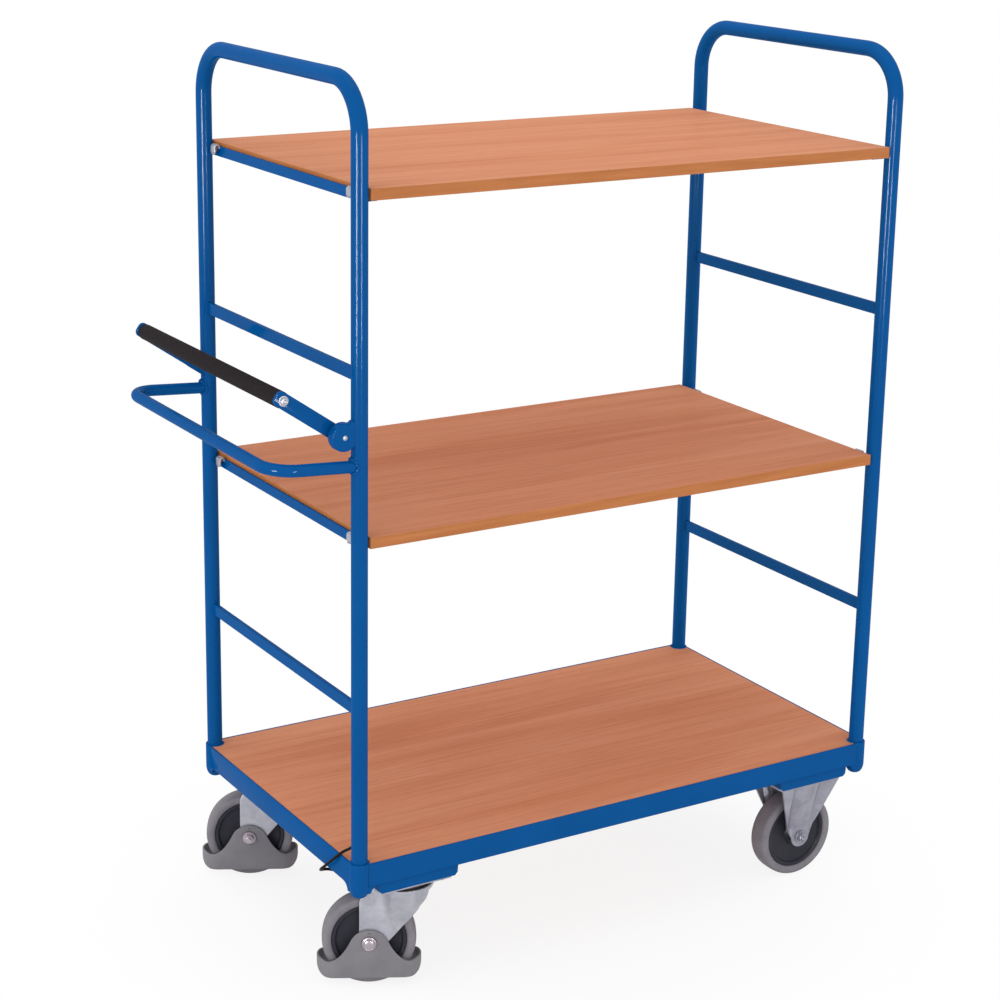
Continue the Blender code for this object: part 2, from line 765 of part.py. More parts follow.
def deck_end(end, end_x, inward, root):
    """End rail, two sockets and their curved webs, welded into one piece."""
    outline = [(inward * (across - DECK_RAIL_REACH), up) for across, up in deck_section()]
    rail = plate(
        f"deck_end_{end}", [outline], POST_SPACING_Y, BLUE, root, (end_x, 0, 0), FACING_NEAR
    )
    for side, sign in SIDES.items():
        place = POST_PLACES[f"{end}_{side}"]
        combine(rail, socket(f"socket_{end}_{side}", *place, root), "UNION")
        combine(rail, gusset(f"gusset_end_{end}_{side}", place, (0, -sign), True, root), "UNION")
        combine(rail, gusset(f"gusset_rail_{end}_{side}", place, (inward, 0), False, root), "UNION")
        bore_height = SOCKET_TOP_Z - POST_FOOT_Z + GAP + OVERRUN
        bore = prism(
            f"socket_bore_{end}_{side}",
            SOCKET_BORE_RADIUS,
            bore_height,
            CUTTER_SEGMENTS,
            None,
            root,
            (*place, POST_FOOT_Z - GAP + bore_height / 2),
        )
        combine(rail, as_cutter(bore), "DIFFERENCE")
    return rail


def deck_rail(side, sign, root, cutters):
    """Long edge rail between two sockets; its ledge stops at the end rails."""
    outline = [(sign * (DECK_RAIL_REACH - across), up) for across, up in deck_section()]
    rail = plate(
        f"deck_rail_{side}",
        [outline],
        POST_SPACING_X,
        BLUE,
        root,
        (POST_SPACING_X / 2, sign * HALF_Y, 0),
        FACING_LEFT,
    )
    ledge_start = DECK_RAIL_WIDTH - DECK_RAIL_REACH + GAP
    for end, end_x, inward in (("left", 0.0, 1), ("right", POST_SPACING_X, -1)):
        combine(rail, cutters[f"{end}_{side}"], "DIFFERENCE")
        length = ledge_start + OVERRUN
        width = DECK_RAIL_WIDTH
        corner = box(
            f"deck_rail_{side}_corner_{end}",
            (length, width, DECK_RAIL_HEIGHT + OVERRUN),
            None,
            root,
            (
                end_x + inward * (ledge_start - length / 2),
                sign * (HALF_Y + DECK_RAIL_REACH - DECK_RAIL_SHEET - width / 2),
                (DECK_TOP_Z + DECK_RAIL_FOOT_Z) / 2,
            ),
        )
        combine(rail, as_cutter(corner), "DIFFERENCE")
    return rail


def deck_board(root, cutters):
    reach = DECK_RAIL_REACH - DECK_RAIL_SHEET - GAP
    board = box(
        "deck_board",
        (POST_SPACING_X + 2 * reach, POST_SPACING_Y + 2 * reach, DECK_BOARD_THICKNESS),
        BEECH,
        root,
        (POST_SPACING_X / 2, 0, DECK_TOP_Z - DECK_BOARD_THICKNESS / 2),
    )
    for cutter in cutters.values():
        combine(board, cutter, "DIFFERENCE")
    return board


def member_section(inset, raise_top):
    """Half of this open channel stands each side of its middle: sloped sides, chamfered feet."""
    half = MEMBER_WIDTH / 2 - inset
    foot = SOCKET_FOOT_Z + inset
    top = DECK_RAIL_FOOT_Z - GAP + raise_top
    slope = MEMBER_SLOPE
    chamfer = MEMBER_CHAMFER
    right = [(half - slope - chamfer, foot), (half - slope, foot + chamfer), (half, top)]
    left = [(-across, up) for across, up in reversed(right)]
    return left + right


def cross_member(end, x, root):
    reach = POST_SPACING_Y + 2 * (DECK_RAIL_REACH - MEMBER_END_SETBACK)
    member = plate(
        f"cross_member_{end}", [member_section(0, 0)], reach, BLUE, root, (x, 0, 0), FACING_NEAR
    )
    hollow = plate(
        f"cross_member_{end}_hollow",
        [member_section(MEMBER_SHEET, OVERRUN)],
        reach - 2 * MEMBER_SHEET,
        None,
        root,
        (x, 0, 0),
        FACING_NEAR,
    )
    combine(member, as_cutter(hollow), "DIFFERENCE")
    return member


# Push bow


def bow_path(start_x, reach):
    """The bow's centre line in its own plane, from one post to the other."""
    radius = BOW_BEND_RADIUS
    near = (-reach + radius, -HALF_Y + radius)
    far = (-reach + radius, HALF_Y - radius)
    bend = arc(near, radius, -QUARTER_TURN, -math.pi, BEND_SEGMENTS)
    bend += arc(far, radius, math.pi, QUARTER_TURN, BEND_SEGMENTS)
    points = [(start_x, -HALF_Y)] + bend + [(start_x, HALF_Y)]
    return [(x, y, 0) for x, y in points]


def push_bow(root, cutters):
    tilt = math.atan2(BOW_FRONT_RISE, BOW_REACH)
    reach = math.hypot(BOW_REACH, BOW_FRONT_RISE)
    place = (0, 0, BOW_POST_Z)
    path = bow_path(0, reach)
    bow = tube("push_bow", path, BOW_RADIUS, SLIM_TUBE_SEGMENTS, BLUE, root, place, (0, tilt, 0))
    bow = as_mesh(bow)
    bore = tube(
        "push_bow_bore",
        bow_path(OVERRUN, reach),
        BOW_RADIUS - BOW_WALL,
        BORE_SEGMENTS,
        None,
        root,
        place,
        (0, tilt, 0),
    )
    combine(bow, as_cutter(as_mesh(bore)), "DIFFERENCE")
    for side in SIDES:
        combine(bow, cutters[f"left_{side}"], "DIFFERENCE")
    return smooth(bow)


# Brake lever


def bracket_outline(side, pivot):
    """A large round boss on the near side, where the cable starts, and a plain lug on the far side."""
    neck_x = -POST_RADIUS / 2
    if side == "near":
        round_part = arc(pivot, BOSS_RADIUS, BOSS_START_ANGLE, BOSS_END_ANGLE, BOSS_SEGMENTS)
        foot = round_part[0][1]
        shoulder = (-POST_RADIUS, PIVOT_Z + BOSS_NECK_RISE)
    else:
        turn = -QUARTER_TURN - LEVER_ANGLE
        round_part = arc(pivot, LUG_RADIUS, turn, -3 * QUARTER_TURN, BOSS_SEGMENTS)
        foot = round_part[0][1] - (neck_x - round_part[0][0]) * math.tan(LEVER_ANGLE)
        shoulder = (-POST_RADIUS, PIVOT_Z + LUG_RADIUS)
    return [(neck_x, foot)] + round_part + [shoulder, (neck_x, shoulder[1])]


def pivot_bracket(side, sign, root, cutter):
    """The thick piece, welded to the post, that holds one end of the lever's pivot."""
    pivot = (-PIVOT_REACH, PIVOT_Z)
    outline = bracket_outline(side, pivot)
    hole = circle(pivot, PIN_RADIUS + GAP, SMALL_SEGMENTS)
    middle = sign * (HALF_Y + BOSS_OUTER_SETBACK - BOSS_WIDTH / 2)
    bracket = plate(
        f"pivot_bracket_{side}", [outline, hole], BOSS_WIDTH, BLUE, root, (0, middle, 0), FACING_NEAR
    )
    combine(bracket, cutter, "DIFFERENCE")
    return bracket


def pivot_pin(side, sign, root):
    """Shoulder rivet through the boss and the arm: a head, a shoulder between the two and a collar."""
    head = HALF_Y + BOSS_OUTER_SETBACK + GAP
    shoulder = head - BOSS_WIDTH - 2 * GAP
    arm_face = LEVER_ARM_Y + ARM_THICKNESS / 2 + GAP
    collar = LEVER_ARM_Y - ARM_THICKNESS / 2 - GAP
    profile = [
        (0, head + PIN_HEAD_HEIGHT),
        (PIN_HEAD_RADIUS * PIN_DOME_SHARE, head + PIN_HEAD_HEIGHT),
        (PIN_HEAD_RADIUS, head + PIN_HEAD_HEIGHT / 2),
        (PIN_HEAD_RADIUS, head),
        (PIN_RADIUS, head),
        (PIN_RADIUS, shoulder),
        (PIN_SHOULDER_RADIUS, shoulder),
        (PIN_SHOULDER_RADIUS, arm_face),
        (PIN_RADIUS, arm_face),
        (PIN_RADIUS, collar),
        (PIN_COLLAR_RADIUS, collar),
        (PIN_COLLAR_RADIUS, collar - PIN_COLLAR_HEIGHT),
        (0, collar - PIN_COLLAR_HEIGHT),
    ]
    turn = -sign * QUARTER_TURN
    return turned(
        f"pivot_pin_{side}", profile, SMALL_SEGMENTS, ZINC, root, (-PIVOT_REACH, 0, PIVOT_Z), (turn, 0, 0)
    )


def lever_arm(side, sign, lever):
    """Flat bar from the pivot to just past the grip, round at the pivot."""
    tip = -LEVER_LENGTH - ARM_TIP
    half = ARM_WIDTH / 2
    radius = ARM_TIP_RADIUS
    outline = arc((0, 0), half, -QUARTER_TURN, QUARTER_TURN, ARM_END_SEGMENTS)
    outline += arc((tip + radius, half - radius), radius, QUARTER_TURN, math.pi, CORNER_SEGMENTS)
    outline += arc((tip + radius, radius - half), radius, math.pi, 3 * QUARTER_TURN, CORNER_SEGMENTS)
    pin_hole = circle((0, 0), PIN_RADIUS + GAP, SMALL_SEGMENTS)
    bolt_hole = circle((-LEVER_LENGTH, 0), LEVER_BOLT_RADIUS + GAP, SMALL_SEGMENTS)
    return plate(
        f"lever_arm_{side}",
        [outline, pin_hole, bolt_hole],
        ARM_THICKNESS,
        BLUE,
        lever,
        (0, sign * LEVER_ARM_Y, 0),
        FACING_NEAR,
    )


def lever_bolt(side, sign, lever):
    """Washer and round head on the arm's outer face, shank into the grip tube."""
    face = LEVER_ARM_Y + ARM_THICKNESS / 2 + GAP
    top = face + WASHER_HEIGHT + LEVER_BOLT_HEAD_HEIGHT
    profile = [
        (0, top),
        (LEVER_BOLT_HEAD_RADIUS * PIN_DOME_SHARE, top),
        (LEVER_BOLT_HEAD_RADIUS, face + WASHER_HEIGHT + LEVER_BOLT_HEAD_HEIGHT / 2),
        (LEVER_BOLT_HEAD_RADIUS, face + WASHER_HEIGHT),
        (WASHER_RADIUS, face + WASHER_HEIGHT),
        (WASHER_RADIUS, face),
        (LEVER_BOLT_RADIUS, face),
        (LEVER_BOLT_RADIUS, GRIP_HALF_LENGTH - LEVER_BOLT_DEPTH),
        (0, GRIP_HALF_LENGTH - LEVER_BOLT_DEPTH),
    ]
    turn = -sign * QUARTER_TURN
    return turned(
        f"lever_bolt_{side}", profile, SMALL_SEGMENTS, ZINC, lever, (-LEVER_LENGTH, 0, 0), (turn, 0, 0)
    )


def pipe_profile(inner, outer, half_length, end_round):
    return [
        (inner, -half_length),
        (inner, half_length),
        (outer - end_round, half_length),
        (outer, half_length - end_round),
        (outer, end_round - half_length),
        (outer - end_round, -half_length),
    ]


def brake_lever(root):
    lever = empty("lever_pivot", root, (-PIVOT_REACH, 0, PIVOT_Z), tilt=LEVER_ANGLE)
    grip_place = (-LEVER_LENGTH, 0, 0)
    for side, sign in SIDES.items():
        lever_arm(side, sign, lever)
        lever_bolt(side, sign, lever)
    bolt_bore = GRIP_TUBE_RADIUS - GRIP_TUBE_WALL
    tube_profile = pipe_profile(bolt_bore, GRIP_TUBE_RADIUS, GRIP_HALF_LENGTH, GAP)
    turned("grip_tube", tube_profile, SMALL_SEGMENTS, BLUE, lever, grip_place, ALONG_Y, ring=True)
    sleeve_bore = GRIP_TUBE_RADIUS + GAP
    sleeve_profile = pipe_profile(sleeve_bore, GRIP_RADIUS, GRIP_HALF_LENGTH, GRIP_END_ROUND)
    turned("grip_sleeve", sleeve_profile, TUBE_SEGMENTS, FOAM_BLACK, lever, grip_place, ALONG_Y, ring=True)


# Wheels


def tyre_profile():
    """Crowned tread with rounded shoulders, as a closed ring of (radius, offset) pairs."""
    inner = RIM_RADIUS + GAP
    half = TYRE_HALF_WIDTH
    shoulder = TYRE_SHOULDER
    upper = [
        (inner, half - shoulder),
        (inner + TYRE_BAND / 2, half),
        (WHEEL_RADIUS - shoulder, half - shoulder * TYRE_SHOULDER_SHARE),
        (WHEEL_RADIUS, half * TYRE_CROWN_SHARE),
    ]
    lower = [(radius, -offset) for radius, offset in reversed(upper)]
    return upper + lower


def hub_profile():
    """Moulded hub: long boss round the bore, thin web with a raised ring, and the rim."""
    bore = AXLE_RADIUS + HUB_BORE_CLEARANCE
    draft = HUB_WEB_HALF_WIDTH * HUB_DRAFT_SHARE
    rim_inner = RIM_RADIUS - HUB_RIM_THICKNESS
    upper = [
        (bore, HUB_BOSS_HALF_WIDTH),
        (HUB_BOSS_RADIUS, HUB_BOSS_HALF_WIDTH),
        (HUB_BOSS_RADIUS + draft, HUB_WEB_HALF_WIDTH),
        (HUB_RING_RADIUS - HUB_RING_WIDTH / 2, HUB_WEB_HALF_WIDTH),
        (HUB_RING_RADIUS, HUB_RING_HALF_WIDTH),
        (HUB_RING_RADIUS + HUB_RING_WIDTH / 2, HUB_WEB_HALF_WIDTH),
        (rim_inner - draft, HUB_WEB_HALF_WIDTH),
        (rim_inner, HUB_HALF_WIDTH),
        (RIM_RADIUS, HUB_HALF_WIDTH),
    ]
    lower = [(radius, -offset) for radius, offset in reversed(upper)]
    return upper + lower


def wheel(name, axle):
    turned(f"tyre_{name}", tyre_profile(), WHEEL_SEGMENTS, TYRE_GREY, axle, (0, 0, 0), ALONG_Y, ring=True)
    turned(f"hub_{name}", hub_profile(), WHEEL_SEGMENTS, HUB_GREY, axle, (0, 0, 0), ALONG_Y, ring=True)


def axle_bolt(name, face, parent, location):
    """Hexagon bolt through fork and hub, with its nut on the other side; face is where the head seats."""
    seat = face + GAP
    length = 2 * (seat + AXLE_HEAD_HEIGHT)
    bolt = prism(name, AXLE_RADIUS, length, SMALL_SEGMENTS, ZINC, parent, location, ALONG_Y)
    for end, sign in SIDES.items():
        x, y, z = location
        offset = sign * (seat + AXLE_HEAD_HEIGHT / 2)
        head = prism(
            f"{name}_hexagon_{end}",
            AXLE_HEAD_RADIUS,
            AXLE_HEAD_HEIGHT - GAP,
            HEXAGON,
            None,
            parent,
            (x, y + offset, z),
            ALONG_Y,
        )
        combine(bolt, as_cutter(head), "UNION")
    return bolt


# Forks pressed from sheet


def leg_sheet(name, rows, lateral, sheet, material, parent, location):
    """One leg of a fork, from rows of (height, rear end, front end), its face set by lateral(x, z)."""
    columns = LEG_COLUMNS
    mesh = bpy.data.meshes.new(name)
    shape = bmesh.new()
    grid = []
    for height, rear, front in rows:
        row = []
        for step in range(columns + 1):
            x = rear + (front - rear) * step / columns
            row.append(shape.verts.new((x, -lateral(x, height), height)))
        grid.append(row)
    for low, high in zip(grid, grid[1:]):
        for step in range(columns):
            shape.faces.new((low[step], low[step + 1], high[step + 1], high[step]))
    shape.to_mesh(mesh)
    shape.free()
    leg = add(name, mesh, material, parent, location)
    solid = leg.modifiers.new("sheet", "SOLIDIFY")
    solid.thickness = sheet
    solid.offset = -1
    solid.use_even_offset = True
    mirror = leg.modifiers.new("other leg", "MIRROR")
    mirror.use_axis = (False, True, False)
    mirror.use_mirror_merge = False
    return leg


def drill_axle(fork, name, parent, location):
    length = 2 * (PEDAL_HALF_WIDTH + OVERRUN)
    drill = prism(
        f"{name}_axle_hole", AXLE_HOLE_RADIUS, length, SMALL_SEGMENTS, None, parent, location, ALONG_Y
    )
    combine(fork, as_cutter(drill), "DIFFERENCE")


def swivel_leg_rows():
    """Heights up the leg with its ends: round foot, upright rear, and a front raked to the crown."""
    radius = FORK_END_RADIUS
    middle_x = FORK_END_FORWARD
    rise = FORK_FRONT_Z - WHEEL_RADIUS
    # The front edge leaves the round foot as a tangent and passes through the front point.
    reach = math.hypot(FORK_FRONT_REACH - middle_x, rise)
    heading = math.atan2(FORK_FRONT_REACH - middle_x, rise) - math.asin(radius / reach)
    touch = (middle_x + radius * math.cos(heading), WHEEL_RADIUS - radius * math.sin(heading))
    slope = math.tan(heading)
    top_reach = SWIVEL_TRAIL + math.sqrt(CROWN_RADIUS**2 - FORK_OUTER**2) - FORK_SHEET
    foot = [WHEEL_RADIUS - radius * math.sin(math.radians(turn)) for turn in FORK_FOOT_TURNS]
    middle = (touch[1] + WHEEL_RADIUS) / 2
    steps = SWIVEL_LEG_STEPS
    rake = [WHEEL_RADIUS + rise * step / steps for step in range(1, steps + 1)]
    rows = []
    for height in foot + [touch[1], middle, WHEEL_RADIUS] + rake:
        below = max(WHEEL_RADIUS - height, 0)
        half = math.sqrt(radius**2 - below**2)
        raked = touch[0] + (height - touch[1]) * slope
        rows.append((height, middle_x - half, middle_x + half if height < touch[1] else raked))
    for forward, up in FORK_FRONT_PLACES + ((top_reach, FORK_TOP_Z - FORK_FRONT_Z),):
        height = FORK_FRONT_Z + up
        front = min(FORK_FRONT_REACH + forward, top_reach)
        rear_share = ease((height - FORK_SHOULDER_Z) / (FORK_TOP_Z - FORK_SHOULDER_Z))
        rows.append((height, (middle_x - radius) * (1 - rear_share) + FORK_SHEET * rear_share, front))
    return rows


def swivel_leg_lateral(x, height):
    """Flat along the rear strip, flared out to the round crown in front of the crease."""
    crown = CROWN_RADIUS + FORK_LIP
    round_reach = math.sqrt(max(crown**2 - (x - SWIVEL_TRAIL) ** 2, 0))
    flare = max(round_reach - FORK_OUTER, 0)
    rise = ease((height - FORK_FLARE_FOOT_Z) / (FORK_TOP_Z - FORK_FLARE_FOOT_Z))
    return FORK_OUTER + flare * rise * ease((x - FORK_CREASE) / FORK_CREASE_RUN)


def swivel_fork(name, axle_place, swivel):
    fork = leg_sheet(
        name, swivel_leg_rows(), swivel_leg_lateral, FORK_SHEET, ZINC, swivel, (axle_place[0], 0, 0)
    )
    sheet = FORK_SHEET
    bowl = [
        (KINGPIN_RADIUS + GAP, CROWN_UNDER_Z),
        (KINGPIN_RADIUS + GAP, CROWN_FLOOR_Z),
        (CROWN_FLOOR_RADIUS, CROWN_FLOOR_Z),
        (CROWN_RADIUS - sheet, CROWN_RIM_Z),
        (CROWN_RADIUS, CROWN_RIM_Z),
        (CROWN_RADIUS, (CROWN_RIM_Z + CROWN_FLOOR_Z) / 2),
        (CROWN_FLOOR_RADIUS + sheet, CROWN_UNDER_Z + sheet / 2),
        (CROWN_FLOOR_RADIUS, CROWN_UNDER_Z),
    ]
    crown = turned(f"{name}_crown", bowl, CUTTER_SEGMENTS, None, swivel, (0, 0, 0), ring=True)
    combine(fork, as_cutter(crown), "UNION")
    drill_axle(fork, name, swivel, axle_place)
    return fork


def castor_plate(name, parent, location):
    """Fixing plate with its four bolt holes."""
    holes = [
        circle(
            (
                sign_x * (PLATE_LENGTH / 2 - PLATE_HOLE_INSET),
                sign_y * (PLATE_WIDTH / 2 - PLATE_HOLE_INSET),
            ),
            PLATE_HOLE_RADIUS,
            HOLE_SEGMENTS,
        )
        for sign_x in (-1, 1)
        for sign_y in (-1, 1)
    ]
    outline = rounded_rectangle(
        PLATE_LENGTH / 2, PLATE_WIDTH / 2, PLATE_CORNER_RADIUS, PLATE_CORNER_SEGMENTS
    )
    x, y = location
    middle = PLATE_FOOT_Z + PLATE_THICKNESS / 2
    return plate(name, [outline] + holes, PLATE_THICKNESS, ZINC, parent, (x, y, middle))


def swivel_plate(name, root, place):
    """Fixing plate with the bearing race under it and the kingpin that holds the fork's crown."""
    top = PLATE_FOOT_Z + PLATE_THICKNESS / 2
    race_foot = CROWN_FLOOR_Z + GAP
    head_top = CROWN_UNDER_Z - GAP
    profile = [
        (0, top),
        (RACE_TOP_RADIUS, top),
        (RACE_TOP_RADIUS, PLATE_FOOT_Z - GAP),
        (RACE_FOOT_RADIUS, race_foot),
        (KINGPIN_RADIUS, race_foot),
        (KINGPIN_RADIUS, head_top),
        (KINGPIN_HEAD_RADIUS, head_top),
        (KINGPIN_HEAD_RADIUS, head_top - KINGPIN_HEAD_HEIGHT),
        (0, head_top - KINGPIN_HEAD_HEIGHT),
    ]
    fixing = castor_plate(name, root, place)
    kingpin = turned(f"{name}_kingpin", profile, WHEEL_SEGMENTS, None, root, (*place, 0))
    combine(fixing, as_cutter(kingpin), "UNION")
    return fixing


# Pedal ring


def stadium(half_length, half_width):
    straight = half_length - half_width
    segments = PEDAL_END_SEGMENTS
    points = arc((straight, 0), half_width, -QUARTER_TURN, QUARTER_TURN, segments)
    points += arc((-straight, 0), half_width, QUARTER_TURN, 3 * QUARTER_TURN, segments)
    return points


def pedal_side_outline():
    """Side view: flat foot, round hump over the axle, and a dip before each raised end."""
    over = PEDAL_HALF_LENGTH + OVERRUN
    hump = PEDAL_HUMP_RADIUS
    foot = PEDAL_FOOT_Z
    foot_round = PEDAL_FOOT_ROUND
    corner = foot_round * PEDAL_FOOT_ROUND_SHARE
    steps = PEDAL_FLANK_STEPS
    right = arc((0, PEDAL_HUMP_CENTRE_Z), hump, QUARTER_TURN, PEDAL_FLANK_ANGLE, steps)
    start_x, start_z = right[-1]
    slope_x = PEDAL_DIP_REACH - start_x
    slope_z = start_z - PEDAL_DIP_TOP_Z
    for step in range(1, steps + 1):
        share = step / steps
        fall = 1 - (1 - share) ** PEDAL_SWEEP_POWER
        right.append((start_x + slope_x * share, start_z - slope_z * fall))
    right.append((PEDAL_HALF_LENGTH - PEDAL_WALL, PEDAL_END_TOP_Z))
    right.append((over, PEDAL_END_TOP_Z))
    right.append((over, foot + foot_round))
    right += [
        (PEDAL_HALF_LENGTH, foot + foot_round),
        (PEDAL_HALF_LENGTH - corner, foot + corner),
        (PEDAL_HALF_LENGTH - foot_round, foot),
    ]
    left = [(-x, z) for x, z in reversed(right[1:])]
    return right + left


def pedal_ring(name, pedal):
    """The grey ring round the lower wheel: a band, cut to its outline from the side."""
    height = PEDAL_HUMP_CENTRE_Z + PEDAL_HUMP_RADIUS - PEDAL_FOOT_Z
    middle = PEDAL_FOOT_Z + height / 2 - WHEEL_RADIUS
    inner = PEDAL_HALF_WIDTH - PEDAL_WALL
    inner_length = PEDAL_HALF_LENGTH - PEDAL_WALL
    ring = plate(
        name,
        [stadium(PEDAL_HALF_LENGTH, PEDAL_HALF_WIDTH), stadium(inner_length, inner)],
        height + 2 * OVERRUN,
        PEDAL_GREY,
        pedal,
        (0, 0, middle),
    )
    outline = [(x, z - WHEEL_RADIUS) for x, z in pedal_side_outline()]
    width = 2 * (PEDAL_HALF_WIDTH + OVERRUN)
    side = plate(f"{name}_side_view", [outline], width, None, pedal, (0, 0, 0), FACING_NEAR)
    combine(ring, as_cutter(side), "INTERSECT")
    drill_axle(ring, name, pedal, (0, 0, 0))
    return ring


# Complete castors


def swivel_castor(side, sign, root):
    place = (SWIVEL_INSET_X, sign * (HALF_Y - SWIVEL_INSET_Y))
    name = f"left_{side}"
    swivel_plate(f"swivel_plate_{side}", root, place)
    swivel = empty(f"swivel_{side}", root, (*place, 0), turn=SWIVEL_TURN)
    axle_place = (-SWIVEL_TRAIL, 0, WHEEL_RADIUS)
    swivel_fork(f"swivel_fork_{side}", axle_place, swivel)
    axle_bolt(f"axle_bolt_{name}", PEDAL_HALF_WIDTH, swivel, axle_place)
    wheel(name, empty(f"wheel_{name}", swivel, axle_place))
    pedal_ring(f"pedal_ring_{side}", empty(f"pedal_{side}", swivel, axle_place))


def fixed_leg_rows():
    """Heights up the leg with its ends: round foot, then both edges raked out to the plate."""
    radius = FIXED_LEG_END_RADIUS
    rows = []
    for turn in FIXED_LEG_FOOT_TURNS:
        half = radius * math.cos(math.radians(turn))
        rows.append((WHEEL_RADIUS - radius * math.sin(math.radians(turn)), -half, half))
    top = PLATE_FOOT_Z + PLATE_THICKNESS / 2
    steps = FIXED_LEG_STEPS
    lean = [FIXED_LEG_UPRIGHT_Z + (top - FIXED_LEG_UPRIGHT_Z) * step / steps for step in range(steps + 1)]
    for height in [WHEEL_RADIUS] + lean:
        share = (height - WHEEL_RADIUS) / (top - WHEEL_RADIUS)
        half = radius + (FIXED_LEG_TOP_HALF_LENGTH - radius) * share**FIXED_LEG_RAKE_SHARE
        rows.append((height, -half, half))
    return rows


def fixed_leg_lateral(x, height):
    """Upright beside the wheel, then leaning out to the plate's edge, with a raised middle strip."""
    top = PLATE_FOOT_Z + PLATE_THICKNESS / 2
    share = max((height - FIXED_LEG_UPRIGHT_Z) / (top - FIXED_LEG_UPRIGHT_Z), 0)
    lean = (PLATE_WIDTH / 2 - FIXED_LEG_OUTER) * share
    strip = ease(2 - abs(x) / FIXED_LEG_CREASE_HALF_LENGTH)
    rise = min(share / FIXED_LEG_CREASE_RISE_SHARE, 1)
    return FIXED_LEG_OUTER + lean - FIXED_LEG_CREASE_DEPTH * (1 - strip) * rise


def fixed_castor(side, sign, root):
    place = (POST_SPACING_X - FIXED_INSET_X, sign * (HALF_Y - FIXED_INSET_Y))
    name = f"right_{side}"
    fork_name = f"fixed_fork_{side}"
    fork = leg_sheet(
        fork_name, fixed_leg_rows(), fixed_leg_lateral, FIXED_LEG_SHEET, ZINC, root, (*place, 0)
    )
    fixing = as_cutter(castor_plate(f"{fork_name}_plate", root, place))
    combine(fork, fixing, "UNION")
    axle_place = (*place, WHEEL_RADIUS)
    drill_axle(fork, fork_name, root, axle_place)
    axle_bolt(f"axle_bolt_{name}", FIXED_LEG_OUTER, root, axle_place)
    wheel(name, empty(f"wheel_{name}", root, axle_place))


# Brake cable


def smooth_route(places, spacing):
    """Points about the given distance apart, read from a smooth curve through the places."""
    knots = [Vector(place) for place in places]
    ends = [2 * knots[0] - knots[1]] + knots + [2 * knots[-1] - knots[-2]]
    route = []
    for before, start, end, after in zip(ends, ends[1:], ends[2:], ends[3:]):
        steps = max(1, round((end - start).length / spacing))
        for step in range(steps):
            t = step / steps
            route.append(
                0.5
                * (
                    2 * start
                    + (end - before) * t
                    + (2 * before - 5 * start + 4 * end - after) * t**2
                    + (3 * start - before - 3 * end + after) * t**3
                )
            )
    route.append(knots[-1])
    return route


def brake_cable(root, frame):
    """Out of a hole low in the near left post, over the deck rail, back under it to the ferrule."""
    member_x = SWIVEL_INSET_X - MEMBER_WIDTH / 2
    ferrule_z = DECK_RAIL_FOOT_Z - CABLE_FERRULE_DROP
    ferrule_x = member_x - GAP + MEMBER_SLOPE / 3
    end_x = ferrule_x - CABLE_FERRULE_LENGTH - GAP
    route = [(x, y, CABLE_EXIT_Z + z) for x, y, z in CABLE_PLACES]
    route.append((end_x - CABLE_RADIUS * 2, CABLE_FERRULE_INSET_Y, ferrule_z))
    route.append((end_x, CABLE_FERRULE_INSET_Y, ferrule_z))
    place = (0, -HALF_Y, 0)
    points = smooth_route(route, CABLE_POINT_SPACING)
    tube("brake_cable", points, CABLE_RADIUS, CABLE_SEGMENTS, CABLE_BLACK, root, place)
    exit_hole = tube(
        "cable_exit_hole",
        [route[2], route[3]],
        CABLE_RADIUS * CABLE_HOLE_SHARE,
        SMALL_SEGMENTS,
        None,
        root,
        place,
    )
    combine(frame, as_cutter(as_mesh(exit_hole)), "DIFFERENCE")
    ferrule = [
        (0, ferrule_x),
        (CABLE_FERRULE_RADIUS, ferrule_x),
        (CABLE_FERRULE_RADIUS, ferrule_x - CABLE_FERRULE_LENGTH / 2),
        (CABLE_FERRULE_RADIUS * FERRULE_TAPER_SHARE, ferrule_x - CABLE_FERRULE_LENGTH),
        (0, ferrule_x - CABLE_FERRULE_LENGTH),
    ]
    turned(
        "cable_ferrule",
        ferrule,
        SMALL_SEGMENTS,
        ZINC,
        root,
        (0, CABLE_FERRULE_INSET_Y - HALF_Y, ferrule_z),
        (0, QUARTER_TURN, 0),
    )


# The whole trolley


def build():
    root = empty("shelf_trolley_root", None, (-BOX_CENTRE_X, -BOX_CENTRE_Y, 0))
    posts = post_cutters(root)
    sockets = socket_cutters(root)
    frames = {}
    for end, end_x in (("left", 0.0), ("right", POST_SPACING_X)):
        frames[end] = end_frame(f"end_frame_{end}", end_x, root)
        cross_rail(f"cross_rail_upper_{end}", end_x, CROSS_RAIL_UPPER_Z, end, root, posts)
        cross_rail(f"cross_rail_lower_{end}", end_x, CROSS_RAIL_LOWER_Z, end, root, posts)
    shelf("top", TOP_BOARD_UPPER_Z, root)
    shelf("mid", MID_BOARD_UPPER_Z, root)
    deck_end("left", 0.0, 1, root)
    deck_end("right", POST_SPACING_X, -1, root)
    deck_board(root, sockets)
    cross_member("left", SWIVEL_INSET_X, root)
    cross_member("right", POST_SPACING_X - FIXED_INSET_X, root)
    push_bow(root, posts)
    brake_lever(root)
    for side, sign in SIDES.items():
        deck_rail(side, sign, root, sockets)
        pivot_bracket(side, sign, root, posts[f"left_{side}"])
        pivot_pin(side, sign, root)
        swivel_castor(side, sign, root)
        fixed_castor(side, sign, root)
    brake_cable(root, frames["left"])


build()
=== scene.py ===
# %% [markdown]
# # A shelf trolley, dressed for its portrait
#
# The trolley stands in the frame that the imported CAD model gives. Flat bars, angles and boards are right
# as they are and only get a finish. Everything round, bent or pressed is modelled again here, finer than
# the CAD needs it, and laid exactly over the solid that it stands for.

# %% Load the frame
import json
import math

import bpy
from mathutils import Matrix, Vector


